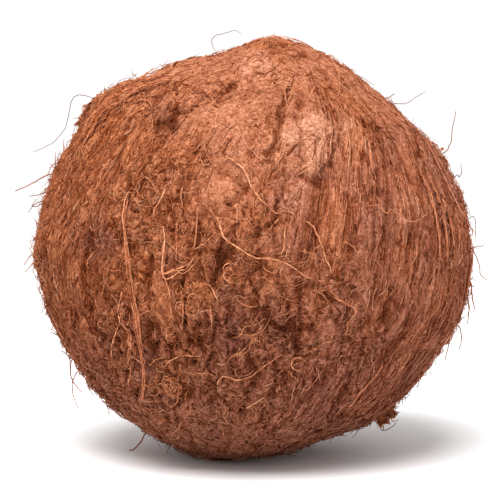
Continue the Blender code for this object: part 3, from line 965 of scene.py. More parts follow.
# %% One layer of fibre
class Layer:
    """The numbers of one layer of fibre: ranges in millimetres, angles in radians, shares from 0 to 1."""

    sides = 3
    length = (5, 12)
    thickness = (0.18, 0.30)
    lift = (0.0, 0.2)
    bend = 0.3
    wander = 0.8
    free_share = 0.1
    free_lift = (0.4, 1.2)
    light = (0.6, 1.1)
    pale_share = 0.06
    darker = 1.3
    spindle = False

    def __init__(self, seed, count, steps, **numbers):
        self.seed = seed
        self.count = count
        self.steps = steps
        for name, value in numbers.items():
            setattr(self, name, value)

    def plant(self, rng, where):
        """Even places, each kept with a chance in proportion to the layer's weight there."""
        places = even_directions(self.count * 4, rng, 0.35)
        weights = where(places)
        return places[rng.uniform(size=len(places)) < weights * self.count / weights.sum()]

    def walk(self, rng, starts):
        """Paths over the skin: more along the combing where order is high, more turning where it is low."""
        fibres = len(starts)
        felt, tangle, base = zones(starts)
        order = 1 - np.maximum(np.maximum(0.8 * felt, tangle), 0.8 * base)
        order *= 1 - 0.45 * smooth(0.2, -0.5, starts @ RIGHT)
        headings = rng.normal(0, 1, fibres) * (0.22 + self.wander * (1 - order))
        headings += math.pi * rng.integers(0, 2, fibres) + 0.5 * math.pi * base
        lengths = rng.uniform(*self.length, fibres) * MM
        bends = rng.normal(0, 0.6, (fibres, 1)) + rng.normal(0, 1, (fibres, self.steps))
        bends *= self.bend * (1 - 0.6 * order)[:, None]
        return grow(starts, headings, lengths, bends, 0.5 * order[:, None])

    def heights(self, rng, fibres, along):
        """Millimetres off the skin: an arch from a sunk root, and for a share a tip that lifts free."""
        height = rng.uniform(*self.lift, (fibres, 1)) * np.sin(math.pi * along) ** 0.7
        free = rng.uniform(size=(fibres, 1)) < self.free_share
        height += np.where(free, rng.uniform(*self.free_lift, (fibres, 1)), 0) * along**1.6
        height[:, 0] = min(-0.15, self.lift[0])
        return height + rng.normal(0, 0.04, height.shape)

    def radii(self, rng, fibres, along):
        """Half the thickness, thinner to both ends in a spindle, and to the tip alone in the rest."""
        taper = np.sin(math.pi * (0.08 + 0.84 * along)) ** 0.6 if self.spindle else 1 - 0.55 * along**2
        return rng.uniform(*self.thickness, (fibres, 1)) / 2 * MM * taper

    def colours(self, rng, starts, along, depth):
        """The coat's colour by each fibre's brightness, some of them pale, with painted shade where it lies
        deep.
        """
        fibres = len(starts)
        own = rng.uniform(size=fibres) ** self.darker
        brightness = self.light[0] + (self.light[1] - self.light[0]) * own
        # Painted shade: low down the brightness is raised to a higher power, which mostly darkens the fibres
        # there.
        brightness = brightness ** (1 + 0.4 * smooth(0.1, -0.5, starts[:, 2]))
        tint = deepened(coat_tint(starts), brightness)
        pale = (rng.uniform(size=fibres) < self.pale_share) * rng.uniform(0.3, 0.9, fibres)
        # Painted shade: hollow_shade darkens a fibre where it lies deep, and 0.85 at the root to 1.1 at the
        # tip darkens its sunk end.
        return deepened(blend(pale, tint, PALE * 0.8)[:, None], hollow_shade(depth) * (0.85 + 0.25 * along))

    def grow(self, name, where, material):
        """Start points, paths, heights, tubes and colours, as one piece."""
        rng = np.random.default_rng(self.seed)
        along = np.linspace(0, 1, self.steps + 1)
        starts = self.plant(rng, where)
        path = self.walk(rng, starts)
        height = self.heights(rng, len(starts), along)
        local = local_relief(path)
        points = path * (skin_radius(path, local) + height * MM)[..., None]
        radii = self.radii(rng, len(starts), along)
        points[..., 2] = np.maximum(points[..., 2], FLOOR + radii)
        tint = np.repeat(self.colours(rng, starts, along, local + 0.5 * height), self.sides, axis=1)
        vertices, triangles = tubes(points, radii, self.sides)
        return make_piece(name, vertices, triangles, material, tint.reshape(-1, 3))


def off_floor(directions):
    """Nothing starts on the flat spot, and the face has almost twice as much as the back."""
    return smooth(-0.985, -0.955, directions[..., 2]) * (1.1 - 0.3 * (directions @ AWAY))


def off_bare(directions):
    """Nothing starts on the bare spots."""
    return 1 - blobs(picture_place(directions), BARE_SPOTS)


def low_down(directions):
    """From nothing at the level of the middle to 1 near the bottom."""
    return smooth(0.0, -0.6, directions[..., 2])


# %% [markdown]
# ## Flecks of felt
#
# Between the fibres lies pith, the soft cork of the husk, pressed flat. A bump pattern could show it, but
# its edges catch the light here, so each fleck is a short, thick spindle half sunk in the skin.

# %% Flecks of felt
def fleck_weight(directions):
    """Flecks lie everywhere but on the bare spots, thinner on the felt and the base."""
    felt, _, base = zones(directions)
    return off_floor(directions) * (1 - 0.6 * felt) * (1 - 0.5 * base) * off_bare(directions)


flecks = Layer(
    seed=101, count=2450, steps=4, sides=5, length=(2.0, 5.5), thickness=(0.35, 0.85), lift=(-0.25, 0.05),
    bend=0.45, light=(0.35, 1.0), spindle=True,
)
flecks.grow("flecks", fleck_weight, felted)


# %% [markdown]
# ## Crumbs
#
# Where the mat is tangled, pith also hangs in it as crumbs. They could be scattered copies of one ball, but
# the export drops copies, so each is a fibre of two steps, more than half as thick as it is long.

# %% Crumbs
def crumb_weight(directions):
    """Crumbs lie in the tangle, on the left and low down, and fewer where the coat is combed."""
    felt, tangle, base = zones(directions)
    left = smooth(0.2, -0.5, directions @ RIGHT)
    share = 0.35 + tangle + 0.2 * left + 0.3 * low_down(directions)
    return off_floor(directions) * share * (1 - 0.7 * felt) * (1 - 0.6 * base)


crumbs = Layer(
    seed=108, count=3900, steps=2, sides=5, length=(0.6, 1.8), thickness=(0.40, 1.05), lift=(-0.10, 0.30),
    bend=0.5, wander=1.5, free_share=0, light=(0.40, 1.20), spindle=True,
)
crumbs.grow("crumbs", crumb_weight, felted)


# %% [markdown]
# ## Matted fibres
#
# Most of the coat is short fibre pressed into a mat. Hair curves would be the usual way, but the export
# keeps meshes alone, so these are thin three-sided tubes that cross each other close to the skin.

# %% Matted fibres
def matted_weight(directions):
    """Matted fibres lie everywhere but on the bare spots, thinner on the felt."""
    felt, tangle, _ = zones(directions)
    return off_floor(directions) * (1 - 0.65 * felt) * (1 - 0.3 * tangle) * off_bare(directions)


matted = Layer(
    seed=102, count=4300, steps=5, length=(3, 9), thickness=(0.15, 0.32), lift=(-0.05, 0.25), bend=0.50,
    wander=0.7, light=(0.30, 1.05),
)
matted.grow("matted_fibres", matted_weight, matt_fibre)


# %% [markdown]
# ## Combed strands
#
# Down the sides, husking has left long strands that lie side by side. The skin's own pattern is stretched
# along them already. Real tubes over it give the strands their shadows and make the outline ragged.

# %% Combed strands
def combed_weight(directions):
    """Long strands lie where the coat is combed."""
    felt, tangle, base = zones(directions)
    return off_floor(directions) * (1 - 0.92 * tangle) * (1 - 0.85 * felt) * (1 - 0.6 * base)


strands = Layer(
    seed=103, count=2500, steps=7, length=(6, 18), thickness=(0.18, 0.42), lift=(-0.10, 0.15), bend=0.30,
    light=(0.32, 1.35),
)
strands.grow("combed_strands", combed_weight, matt_fibre)


# %% [markdown]
# ## Curls
#
# In the tangle, fibres have sprung up into arcs and hooks. A simulation could bend them, but it would be
# slow for thousands. The same walk over the surface makes them, with sharper bends and more lift.

# %% Curls
def curl_weight(directions):
    """Curls stand in the tangle, a few low down, and fewer elsewhere."""
    felt, tangle, _ = zones(directions)
    share = 0.12 + tangle + 0.2 * low_down(directions)
    return off_floor(directions) * share * (1 - 0.7 * felt) * off_bare(directions)


curls = Layer(
    seed=104, count=2450, steps=7, length=(3.5, 10), thickness=(0.18, 0.36), lift=(0.1, 0.9), bend=0.65,
    wander=1.5, free_share=0.25, free_lift=(0.4, 1.4), light=(0.7, 1.3), pale_share=0.22, darker=1.8,
)
curls.grow("curls", curl_weight, matt_fibre)


# %% [markdown]
# ## Fluff
#
# The finest fibre gathers in small orange clouds. A volume could show them, but not in an exported mesh, so
# they are very thin curls, close together at the spots where the coat is orange.

# %% Fluff
def fluff_weight(directions):
    """Fluff gathers at places of the picture, and elsewhere where noise is high."""
    clouds = smooth(1.3, 2.0, waves(directions * BARE_RADIUS, 14 * MM, seed=51))
    return off_floor(directions) * np.maximum(blobs(picture_place(directions), ORANGE_SPOTS), 0.3 * clouds)


fluff = Layer(
    seed=105, count=1100, steps=6, length=(2.5, 6), thickness=(0.12, 0.22), lift=(0.1, 1.1), bend=0.8,
    wander=1.5, light=(0.9, 1.4),
)
fluff.grow("fluff", fluff_weight, matt_fibre)


# %% [markdown]
# ## Fuzz
#
# A short down covers nearly all of the nut and softens its edge against the light. A sheen on the shader
# would give the tone but not the edge, so short hairs stand up from the skin.

# %% Fuzz
def fuzz_weight(directions):
    """Fuzz stands all over, thinner on the felt."""
    felt = zones(directions)[0]
    return off_floor(directions) * (1 - 0.85 * felt)


fuzz = Layer(
    seed=106, count=2300, steps=3, length=(2, 5), thickness=(0.12, 0.22), lift=(0.0, 0.3), bend=0.35,
    wander=1.0, free_share=0.8, free_lift=(0.3, 1.5), light=(0.7, 1.2),
)
fuzz.grow("fuzz", fuzz_weight, matt_fibre)


# %% [markdown]
# ## Frayed edges
#
# Down the left side and at the lower right the coat frays against the pale background. The same scatter all
# round would hide that, so these longer free fibres go by the clock round the outline.

# %% Frayed edges
def fray_weight(directions):
    """Frayed fibres: many down the left edge and at the lower right, few elsewhere and on the felt."""
    felt = zones(directions)[0]
    clock = np.degrees(np.arctan2(directions @ RIGHT, directions @ UP)) % 360
    left = smooth(215, 235, clock) * smooth(312, 296, clock)
    lower_right = smooth(100, 110, clock) * smooth(150, 138, clock)
    edge = np.exp(-((directions @ AWAY / 0.25) ** 2)) * np.maximum(left, 0.7 * lower_right)
    return off_floor(directions) * (0.05 + edge) * (1 - 0.8 * felt)


fray = Layer(
    seed=107, count=1500, steps=5, length=(2.5, 7.5), thickness=(0.14, 0.30), lift=(0.0, 0.4), bend=0.35,
    wander=1.2, free_share=0.9, free_lift=(0.6, 2.8), light=(0.6, 1.0),
)
fray.grow("frayed_edges", fray_weight, matt_fibre)


# %% [markdown]
# ## Stray strands
#
# A few long pale strands have come loose and lie across the rest. On the face they are drawn one by one
# further down. Round the sides and the back, which the picture doesn't show, a scatter of them is laid by
# the seed.

# %% Stray strands
def stray_weight(directions):
    """Stray strands lie round the sides and the back."""
    facing = smooth(0.0, 0.35, -(directions @ AWAY))
    return off_floor(directions) * (1 - facing)


stray = Layer(
    seed=109, count=120, steps=14, sides=4, length=(8, 26), thickness=(0.28, 0.45), lift=(0.4, 1.1),
    bend=0.22, wander=1.2, free_share=0.15, free_lift=(0.6, 2.0), light=(0.95, 1.4), pale_share=0.5,
)
stray.grow("stray_strands", stray_weight, waxy_fibre)


# %% [markdown]
# ## Thick strands
#
# Some strands haven't split and lie on the coat as ribs. On the face the relief and the bundles show them.
# Round the sides and the back, thicker tubes that keep to the combing stand for them.

# %% Thick strands
def thick_weight(directions):
    """Thick strands lie with the combing round the sides and the back."""
    felt, tangle, base = zones(directions)
    facing = smooth(0.1, 0.45, -(directions @ AWAY))
    return off_floor(directions) * (1 - tangle) * (1 - felt) * (1 - base) * (1 - facing)


thick = Layer(
    seed=110, count=75, steps=12, sides=5, length=(16, 36), thickness=(0.45, 0.80), lift=(0.0, 0.3),
    bend=0.10, wander=0.3, light=(0.75, 1.5), pale_share=0.3, spindle=True,
)
thick.grow("thick_strands", thick_weight, matt_fibre)


# %% [markdown]
# ## Knots of curled fibre
#
# Here and there fibres have rolled up into small knots of curls. A curl is an arc of a tilted circle that
# opens as it goes, like a shaving, and a knot is a dozen or more such curls shaken about one spot. A real
# knot could be simulated, but arcs are quick and easy to place. Each curl grows out of the coat: its start
# is drawn down into the skin, so no curl hangs in the air.

# %% Knots of curled fibre
KNOTS = (
    (190, 298, 12, 30), (174, 382, 11, 28), (160, 414, 10, 22), (172, 334, 8, 16), (232, 274, 9, 18),
    (280, 274, 8, 14), (347, 326, 9, 16), (150, 232, 8, 12), (208, 388, 8, 12), (276, 48, 10, 16),
    (256, 340, 9, 14), (300, 360, 9, 14),
)
HANGING_KNOTS = (
    (386, 411, 7, 60), (391, 408, 7, 50), (384, 422, 6, 70), (393, 415, 6, 50), (400, 398, 5, 20),
    (410, 387, 5, 20), (421, 375, 5, 20), (429, 364, 5, 16), (438, 353, 5, 20), (448, 341, 5, 20),
    (84, 115, 7, 44), (90, 106, 7, 44), (97, 98, 6, 34), (106, 92, 5, 16), (79, 122, 5, 26),
)
FAR_PLACES = 40
FAR_KNOTS = 14
FAR_CURLS = 16
FAR_SIZES = (7, 12)
HANGING_DEPTH = 3
HANGING_THICKNESS = (0.20, 0.50)
KNOT_HEIGHT = 0.5 * MM
KNOT_ROOT = 0.45
LOOP_POINTS = 13
ROOT_DEPTH = 0.25 * MM


def rooted(paths, reach):
    """Each path's start drawn straight down into the skin, and less so up to a share of its length."""
    start = unit(paths[:, 0])
    drop = np.linalg.norm(paths[:, 0], axis=-1) - skin_radius(start) + ROOT_DEPTH
    fade = 1 - smooth(0, reach, np.linspace(0, 1, paths.shape[1]))
    return paths - start[:, None] * (np.maximum(drop, 0)[:, None] * fade)[..., None]


def knot_paths(centres, sizes, counts, seed):
    """Curls round each centre: arcs of tilted circles that open as they go, each shaken off centre."""
    rng = np.random.default_rng(seed)
    owner = np.repeat(np.arange(len(counts)), counts)
    curls = len(owner)
    size = sizes[owner][:, None]
    outward = unit(centres)[owner]
    across = unit(np.cross(outward, rng.normal(size=(curls, 3))))
    tilt = rng.normal(0, 0.45, (curls, 1))
    over = np.cross(outward, across) * np.cos(tilt) + outward * np.sin(tilt)
    spread = rng.normal(0, 0.42, (curls, 2, 1)) * size[:, None]
    middle = centres[owner] + across * spread[:, 0] + over * spread[:, 1]
    middle = middle + outward * rng.uniform(0, 0.2, (curls, 1)) * size
    along = np.linspace(0, 1, LOOP_POINTS)
    angle = rng.uniform(0, 2 * math.pi, (curls, 1))
    angle = angle + rng.uniform(0.25, 0.9, (curls, 1)) * 2 * math.pi * along
    waver = np.cumsum(rng.normal(0, 0.10, (curls, LOOP_POINTS)), axis=1)
    radius = size * (rng.uniform(0.15, 0.60, (curls, 1)) * (0.4 + 1.0 * along) + 0.4 * waver)
    ring = across[:, None] * (radius * np.cos(angle))[..., None]
    ring = ring + over[:, None] * (radius * np.sin(angle))[..., None]
    return rooted(middle[:, None] + ring, KNOT_ROOT)


def make_knots(name, spots, centres, seed, thickness=(0.18, 0.36)):
    """One piece of all loops round the given centres, in the orange of loose fibre."""
    rng = np.random.default_rng(seed)
    sizes = np.array([size for x, y, size, count in spots]) * PIXEL
    counts = [count for x, y, size, count in spots]
    paths = knot_paths(centres, sizes, counts, seed)
    radii = rng.uniform(*thickness, (len(paths), 1)) / 2 * MM * np.linspace(1, 0.5, LOOP_POINTS)
    tint = blend(rng.uniform(0.3, 1.0, len(paths)), ORANGE, TAN)
    tint = deepened(tint, rng.uniform(0.4, 1.25, len(paths)))
    tint = np.repeat(tint, LOOP_POINTS * 3, axis=0)
    vertices, triangles = tubes(paths, radii)
    make_piece(name, vertices, triangles, matt_fibre, tint)


knot_pixels = np.array([(x, y) for x, y, size, count in KNOTS], float)
knot_centres = points_on_face(knot_pixels, skin_radius)
knot_centres = knot_centres + unit(knot_centres) * KNOT_HEIGHT
make_knots("knots", KNOTS, knot_centres, 61)
far = even_directions(FAR_PLACES, np.random.default_rng(63), 1.0)
far = far[(far @ AWAY > -0.2) & (np.abs(far[:, 2]) < 0.75)][:FAR_KNOTS]
far_knots = [(0, 0, size, FAR_CURLS) for size in np.random.default_rng(64).uniform(*FAR_SIZES, len(far))]
make_knots("far_knots", far_knots, far * (skin_radius(far)[:, None] + KNOT_HEIGHT), 65)
hanging_pixels = np.array([(x, y) for x, y, size, count in HANGING_KNOTS], float)
hanging_depths = np.random.default_rng(66).uniform(-HANGING_DEPTH, HANGING_DEPTH, len(HANGING_KNOTS)) * MM
hanging_centres = points_at_depth(hanging_pixels, hanging_depths)
make_knots("hanging_knots", HANGING_KNOTS, hanging_centres, 62, HANGING_THICKNESS)

# %% [markdown]
# ## Long bright strands
#
# The eye goes first to the pale strands that have sprung loose: a long one across the face, forks and hooks
# round it, and a thick bundle down the left. A seeded scatter would give such strands, but not these ones,
# so they are drawn point by point over the picture and laid just off the skin.

# %% Long bright strands
STRANDS = (
    (0.40, 0.8, ((209, 208), (214, 214), (219, 221), (222, 231), (229, 240))),
    (0.50, 1.1, ((215, 212), (222, 229), (225, 238), (235, 244), (254, 256), (275, 259), (293, 267),
        (305, 276), (314, 279))),
    (0.48, 0.9, ((222, 155), (233, 161), (244, 168), (249, 177), (253, 188), (262, 199), (271, 208),
        (276, 214), (284, 211), (298, 216))),
    (0.35, 0.7, ((202, 161), (216, 162), (233, 163), (243, 166))),
    (0.35, 0.7, ((229, 157), (240, 165), (247, 173))),
    (0.35, 0.6, ((247, 157), (251, 168), (259, 179))),
    (0.30, 0.5, ((207, 197), (224, 206), (240, 208))),
    (0.40, 0.7, ((140, 158), (132, 169), (129, 178))),
    (0.35, 0.6, ((141, 184), (142, 193), (148, 198), (157, 200))),
    (0.46, 0.8, ((162, 222), (166, 240), (164, 262), (166, 277), (175, 275), (183, 269), (188, 268),
        (196, 254))),
    (0.48, 0.8, ((130, 190), (128, 203), (126, 216), (125, 228), (127, 242))),
    (0.35, 0.5, ((97, 249), (92, 262), (91, 275))),
    (0.40, 0.7, ((252, 374), (263, 363), (274, 356), (286, 353))),
    (0.40, 0.7, ((163, 368), (172, 359), (186, 354), (197, 356), (202, 354), (201, 349))),
    (0.35, 0.6, ((232, 290), (241, 303), (252, 306), (258, 304))),
    (0.35, 0.6, ((263, 261), (263, 268), (269, 272), (276, 268), (277, 261))),
    (0.35, 0.6, ((226, 276), (237, 263), (246, 253))),
    (0.30, 0.5, ((351, 187), (355, 197), (351, 205))),
    (0.40, 0.7, ((279, 218), (274, 226), (268, 232))),
    (0.40, 0.7, ((286, 222), (284, 235), (283, 247), (280, 252), (275, 254))),
    (0.50, 0.8, ((304, 220), (312, 227), (318, 237), (323, 248), (326, 263))),
    (0.35, 0.6, ((320, 245), (315, 249), (309, 266))),
    (0.40, 1.1, ((363, 207), (376, 206), (380, 212), (384, 216), (389, 213), (400, 221), (410, 224),
        (422, 217), (438, 206))),
    (0.35, 0.6, ((342, 242), (347, 242), (352, 248), (357, 256), (361, 265))),
    (0.45, 0.6, ((123, 290), (120, 310), (123, 322), (130, 332))),
    (0.50, 0.7, ((163, 270), (166, 279), (171, 290), (173, 304), (177, 319), (180, 327), (182, 335))),
    (0.35, 0.5, ((107, 281), (103, 293), (101, 310))),
    (0.40, 0.6, ((145, 176), (152, 184), (159, 198))),
    (0.45, 0.7, ((167, 186), (163, 199), (158, 209), (153, 219))),
    (0.42, 0.7, ((184, 184), (182, 201), (185, 212))),
    (0.38, 0.7, ((167, 275), (177, 270), (184, 271), (193, 263), (199, 258))),
    (0.40, 0.7, ((167, 241), (175, 247), (182, 253), (191, 259))),
    (0.45, 0.7, ((198, 207), (199, 227), (198, 244), (193, 250))),
    (0.40, 0.6, ((193, 250), (206, 244), (214, 235))),
    (0.40, 0.7, ((202, 283), (210, 284), (216, 292), (219, 298), (218, 306))),
    (0.35, 0.6, ((210, 302), (214, 319), (213, 333))),
    (0.36, 0.6, ((266, 322), (259, 328), (254, 333), (243, 334), (236, 333))),
    (0.35, 0.6, ((258, 335), (250, 344), (247, 350), (230, 358))),
    (0.35, 0.6, ((230, 338), (239, 334), (245, 326), (252, 326))),
    (0.40, 0.8, ((330, 295), (342, 302), (353, 310), (345, 320), (344, 330), (341, 336))),
    (0.40, 0.6, ((312, 351), (321, 345), (332, 339))),
    (0.35, 0.7, ((379, 299), (384, 300), (392, 292), (387, 287))),
    (0.45, 0.8, ((219, 387), (218, 381), (223, 374), (231, 375), (239, 377), (251, 375), (258, 368),
        (266, 360))),
    (0.35, 0.7, ((148, 387), (157, 384), (161, 389), (155, 394), (160, 399), (170, 400))),
    (0.40, 0.8, ((179, 381), (179, 396), (174, 405), (167, 407))),
    (0.35, 0.7, ((182, 418), (180, 428), (170, 432))),
    (0.35, 0.6, ((222, 424), (226, 434), (230, 439))),
    (0.50, 0.6, ((241, 407), (246, 406), (258, 400), (266, 394))),
    (0.35, 0.6, ((289, 84), (291, 95), (287, 104))),
    (0.30, 0.5, ((204, 150), (213, 163), (224, 175))),
    (0.45, 0.6, ((113, 359), (115, 348), (119, 332), (120, 323))),
    (0.38, 0.6, ((130, 361), (134, 374), (132, 392), (137, 403))),
    (0.35, 0.6, ((188, 290), (183, 299), (186, 310), (197, 314))),
    (0.34, 0.6, ((179, 294), (174, 303), (183, 308), (194, 301), (201, 306))),
    (0.34, 0.7, ((259, 348), (261, 334), (268, 323), (274, 305))),
    (0.36, 0.7, ((228, 363), (232, 357), (245, 350), (254, 339), (258, 328))),
    (0.34, 0.6, ((188, 372), (197, 370), (212, 372), (218, 379))),
    (0.36, 0.6, ((149, 366), (157, 359), (168, 353))),
    (0.34, 0.6, ((186, 403), (188, 394), (190, 388))),
    (0.40, 0.7, ((322, 250), (325, 262), (330, 273))),
    (0.32, 0.6, ((249, 259), (256, 260), (263, 262), (265, 271))),
    (0.34, 0.7, ((316, 290), (322, 298), (326, 305))),
    (0.34, 0.7, ((327, 282), (330, 291), (341, 299), (351, 305))),
    (0.32, 0.6, ((380, 301), (383, 291), (389, 277))),
    (0.32, 0.6, ((292, 250), (312, 255), (308, 267))),
    (0.34, 0.6, ((364, 354), (366, 345), (371, 338))),
    (0.34, 0.6, ((252, 326), (262, 321), (270, 318))),
    (0.34, 0.6, ((300, 354), (312, 348), (322, 341), (336, 340))),
    (0.32, 0.6, ((284, 368), (294, 372), (300, 382))),
    (0.32, 0.6, ((418, 322), (417, 326), (425, 332))),
    (0.34, 0.6, ((174, 380), (166, 372), (163, 380), (172, 390))),
    (0.34, 0.6, ((112, 262), (108, 275), (110, 288))),
)
STRAND_POINTS = 18
STRAND_SIDES = 5
STRAND_LIFT = 0.35
STRAND_SINK = 0.4
STRAND_SHARE = 0.9


def drawn(paths, widths, lifts, points_of, colour, taper=0.6):
    """Tubes along drawn paths, with a small seeded waver and their ends sunk or free as the lifts say."""
    rng = np.random.default_rng(len(paths))
    points = points_of(np.stack([between(path, STRAND_POINTS) for path in paths]))
    waver = np.cumsum(rng.normal(0, 0.12 * MM, points.shape), axis=1)
    points = points + waver * np.sin(np.linspace(0, math.pi, STRAND_POINTS))[:, None]
    points = points + unit(points) * (lifts * MM)[..., None]
    along = np.linspace(0, 1, STRAND_POINTS)
    radii = np.array(widths)[:, None] / 2 * MM * (1 - taper * along**2)
    radii = radii * (0.35 + 0.65 * smooth(0, 0.2, along))
    points[..., 2] = np.maximum(points[..., 2], FLOOR + radii)
    vertices, triangles = tubes(points, radii, STRAND_SIDES)
    brightness = np.interp(widths, (0.25, 0.45), (0.5, 0.95)) * rng.uniform(0.85, 1.1, len(paths))
    tint = deepened(colour, brightness)
    return vertices, triangles, np.repeat(tint, STRAND_POINTS * STRAND_SIDES, axis=0)


def on_skin(pixels):
    """Points of the picture carried along the lines of sight to the skin."""
    return points_on_face(pixels, skin_radius)


arch = np.sin(math.pi * np.linspace(0, 1, STRAND_POINTS)) ** 0.4
strand_heights = np.array([height for width, height, path in STRANDS])[:, None]
strand_lifts = (STRAND_LIFT + strand_heights) * arch - STRAND_SINK * (1 - arch)
strand_paths = [path for width, height, path in STRANDS]
strand_widths = [STRAND_SHARE * width for width, height, path in STRANDS]
vertices, triangles, tint = drawn(strand_paths, strand_widths, strand_lifts, on_skin, STRAND)
make_piece("bright_strands", vertices, triangles, waxy_fibre, tint)

# %% [markdown]
# ## Bundles
#
# Some strands still hold together in bundles: a long one down the left of the face, others with the combing
# near the outline. A bundle could be one wide ribbon, but its splits and gaps show, so each is several
# strands that follow one path, shaken a little apart.

# %% Bundles
BUNDLES = (
    (9, ((129, 191), (128, 204), (125, 218), (126, 231), (128, 249), (130, 269), (131, 282), (134, 302),
        (139, 322), (139, 333), (141, 345), (145, 369), (144, 392), (141, 404))),
    (5, ((124, 298), (122, 312), (126, 324), (132, 332), (131, 350), (129, 366))),
    (2, ((176, 214), (178, 236), (176, 262))),
    (4, ((362, 128), (369, 148), (371, 170), (376, 184))),
    (3, ((180, 282), (183, 306), (182, 330))),
    (3, ((100, 118), (112, 108), (130, 100), (146, 96))),
    (3, ((288, 84), (290, 94), (287, 106))),
    (3, ((108, 100), (128, 89), (148, 81), (170, 75))),
    (3, ((116, 106), (136, 95), (158, 87), (180, 81))),
    (3, ((94, 130), (102, 117), (114, 107), (128, 100))),
    (3, ((80, 154), (88, 139), (98, 126), (106, 118))),
    (4, ((134, 104), (144, 101), (150, 108), (152, 118), (153, 129))),
    (3, ((430, 180), (438, 204), (444, 232), (447, 262))),
    (3, ((438, 186), (446, 212), (452, 240), (454, 268))),
    (3, ((422, 176), (430, 200), (437, 230), (440, 262))),
    (2, ((386, 356), (374, 376), (358, 395), (342, 412))),
    (2, ((163, 236), (165, 256), (165, 274), (174, 274), (184, 269), (195, 261))),
    (4, ((131, 280), (135, 302), (139, 322), (140, 338), (143, 356), (145, 375), (144, 394), (142, 404))),
    (3, ((136, 318), (139, 334), (142, 352), (145, 371), (145, 388), (142, 402))),
)
BUNDLE_SPREAD = 0.9
BUNDLE_WIDTHS = (0.30, 0.58)
BUNDLE_LIFTS = (0.45, 1.0)
BUNDLE_SINK = 0.15
BUNDLE_COLOUR = 0.35 * RUSSET + 0.65 * TAN


def bundle_paths():
    """Several strands for each bundle, each shaken about the same path by a pixel or so."""
    rng = np.random.default_rng(71)
    paths = []
    for count, path in BUNDLES:
        for _ in range(count):
            shake = np.cumsum(rng.normal(0, BUNDLE_SPREAD / 2, (len(path), 2)), axis=0)
            paths.append(np.array(path) + shake * (0.9, 0.2))
    return paths


paths = bundle_paths()
widths = np.random.default_rng(72).uniform(*BUNDLE_WIDTHS, len(paths))
lifts = np.random.default_rng(73).uniform(*BUNDLE_LIFTS, (len(paths), 1)) * arch - BUNDLE_SINK
vertices, triangles, tint = drawn(paths, widths, lifts, on_skin, BUNDLE_COLOUR, taper=0.3)
make_piece("bundles", vertices, triangles, matt_fibre, tint)

# %% [markdown]
# ## Loose hairs round the outline
#
# Against the pale background the nut shows a few long hairs, forks and tufts. They could be left to the
# frayed fibres, but the eye knows them by their place, so each is drawn over the picture. The solid model
# has the same hairs, thicker.

# %% Loose hairs round the outline
HAIRS = (
    (0.22, ((99, 104), (88, 96), (74, 97), (69, 110), (66, 127), (55, 141), (45, 147), (33, 152))),
    (0.20, ((219, 58), (213, 43), (218, 35), (228, 32), (237, 29), (241, 34))),
    (0.20, ((142, 82), (133, 75), (132, 71))),
    (0.40, ((54, 172), (48, 176), (34, 184), (15, 191))),
    (0.30, ((50, 191), (43, 193), (29, 196))),
    (0.30, ((46, 200), (40, 203), (28, 213))),
    (0.26, ((46, 196), (38, 206), (33, 206), (36, 199))),
    (0.40, ((44, 244), (35, 250), (24, 265))),
    (0.40, ((44, 250), (32, 258), (25, 272))),
    (0.40, ((80, 352), (71, 362), (71, 376), (76, 385), (82, 392))),
    (0.34, ((80, 366), (75, 378), (74, 394), (78, 409))),
    (0.50, ((160, 414), (156, 418), (146, 434), (136, 446), (129, 452))),
    (0.34, ((372, 96), (386, 99), (395, 94))),
    (0.22, ((388, 112), (395, 104), (409, 104), (418, 97), (425, 92))),
    (0.30, ((438, 158), (444, 152), (449, 147), (452, 135), (456, 111))),
    (0.24, ((450, 182), (457, 176), (461, 177), (463, 172), (461, 164))),
    (0.24, ((462, 222), (471, 220), (475, 242))),
    (0.36, ((466, 250), (474, 247), (484, 245))),
    (0.30, ((464, 240), (476, 253), (482, 272), (487, 280))),
    (0.50, ((462, 270), (470, 283), (472, 297), (475, 310))),
    (0.45, ((460, 292), (466, 302), (467, 324))),
    (0.40, ((446, 318), (460, 328), (459, 350))),
    (0.40, ((434, 336), (449, 344), (445, 362))),
    (0.30, ((384, 418), (378, 422), (380, 429), (384, 431), (391, 428), (396, 423))),
)
HAIR_START = 7
HAIR_DRIFT = 4
HAIR_ROOT = 0.3
rng = np.random.default_rng(31)
hair_starts = rng.uniform(-HAIR_START, HAIR_START, len(HAIRS)) * MM
hair_drifts = np.linspace(0, 1, STRAND_POINTS) * rng.uniform(-HAIR_DRIFT, HAIR_DRIFT, (len(HAIRS), 1)) * MM
hair_depths = hair_starts[:, None] + hair_drifts


def at_outline(pixels):
    """Points of the picture at the hairs' depths, with each hair's start drawn down into the skin."""
    return rooted(points_at_depth(pixels, hair_depths), HAIR_ROOT)


hair_paths = [path for width, path in HAIRS]
hair_widths = [width for width, path in HAIRS]
no_lift = np.zeros((len(HAIRS), STRAND_POINTS))
vertices, triangles, tint = drawn(hair_paths, hair_widths, no_lift, at_outline, RUSSET, taper=0.4)
make_piece("outline_hairs", vertices, triangles, waxy_fibre, tint)

# %% [markdown]
# ## Floor and backdrop
#
# A plain pale sheet lies under the nut and curves up behind it, as paper does in a studio. A flat plane
# would end in a hard horizon behind it.

# %% Floor and backdrop
SWEEP_FRONT = -4.0
SWEEP_START = 1.2
SWEEP_RADIUS = 0.8
SWEEP_WIDTH = 6.0
SWEEP_TOP = 4.0
PAPER_GRAIN = 30
PAPER_GREYS = ((0.90, 0.90, 0.90, 1), (0.93, 0.93, 0.93, 1))


def sweep_profile():
    """Points of the floor's section: forward edge, start of the curve, a quarter circle, and the top."""
    quarter = np.linspace(0, math.pi / 2, 17)
    back = SWEEP_START + SWEEP_RADIUS
    y = np.concatenate(([SWEEP_FRONT], SWEEP_START + SWEEP_RADIUS * np.sin(quarter), [back]))
    z = np.concatenate(([0.0], SWEEP_RADIUS * (1 - np.cos(quarter)), [SWEEP_TOP]))
    return y, z


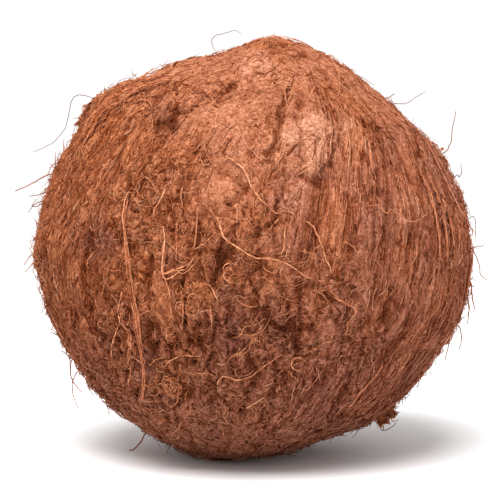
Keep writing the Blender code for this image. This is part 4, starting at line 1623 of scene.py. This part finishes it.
y, z = sweep_profile()
floor_points = np.array([(x, b, c) for b, c in zip(y, z) for x in (-SWEEP_WIDTH / 2, SWEEP_WIDTH / 2)])
floor_faces = [(2 * i, 2 * i + 1, 2 * i + 3, 2 * i + 2) for i in range(len(y) - 1)]
floor_mesh = bpy.data.meshes.new("floor")
floor_mesh.from_pydata(floor_points.tolist(), [], floor_faces)
floor_mesh.shade_smooth()
paper = Finish("paper", Roughness=0.9, Specular_IOR_Level=0.1)
paper_grain = paper.noise(paper.add("ShaderNodeTexCoord", {}, {}, "Object"), PAPER_GRAIN, 2)
paper_shade = paper.mix(paper_grain, *PAPER_GREYS)
paper.put(paper.shader.inputs["Base Color"], paper_shade)
floor_mesh.materials.append(paper.material)
floor = bpy.data.objects.new("floor", floor_mesh)
bpy.context.scene.collection.objects.link(floor)


# %% [markdown]
# ## Light
#
# The picture has soft light from high in front, a little to the left, with open shadows. Several lamps
# could model the nut more strongly. One large lamp and an even, bright sky come closest.

# %% Light
KEY_PLACE = (-0.20, -0.65, 1.25)
KEY_SIZE = 0.9
KEY_POWER = 32
SKY_STRENGTH = 0.74


def soft_lamp(name, place, size, power):
    """A square lamp that points at the nut."""
    lamp = bpy.data.lights.new(name, "AREA")
    lamp.size = size
    lamp.energy = power
    lamp_object = bpy.data.objects.new(name, lamp)
    lamp_object.location = place
    aim = lamp_object.location.copy()
    aim.z -= CENTRE[2]
    lamp_object.rotation_euler = aim.to_track_quat("Z", "Y").to_euler()
    bpy.context.scene.collection.objects.link(lamp_object)


soft_lamp("key", KEY_PLACE, KEY_SIZE, KEY_POWER)
world = bpy.data.worlds.new("studio")
world.use_nodes = True
sky = world.node_tree.nodes["Background"]
sky.inputs["Color"].default_value = (1, 1, 1, 1)
sky.inputs["Strength"].default_value = SKY_STRENGTH
print("lamp power, W:", KEY_POWER, "sky:", SKY_STRENGTH)
bpy.context.scene.world = world
bpy.context.scene.view_settings.view_transform = "Standard"

# %% [markdown]
# ## Sizes and finish
#
# The dressed nut keeps to the solid's box, but for a third of a millimetre at the front. The count of pieces
# and triangles is printed.

# %% Sizes and finish
print("pieces:", len(made_pieces), "triangles:", sum(count for name, count in made_pieces))
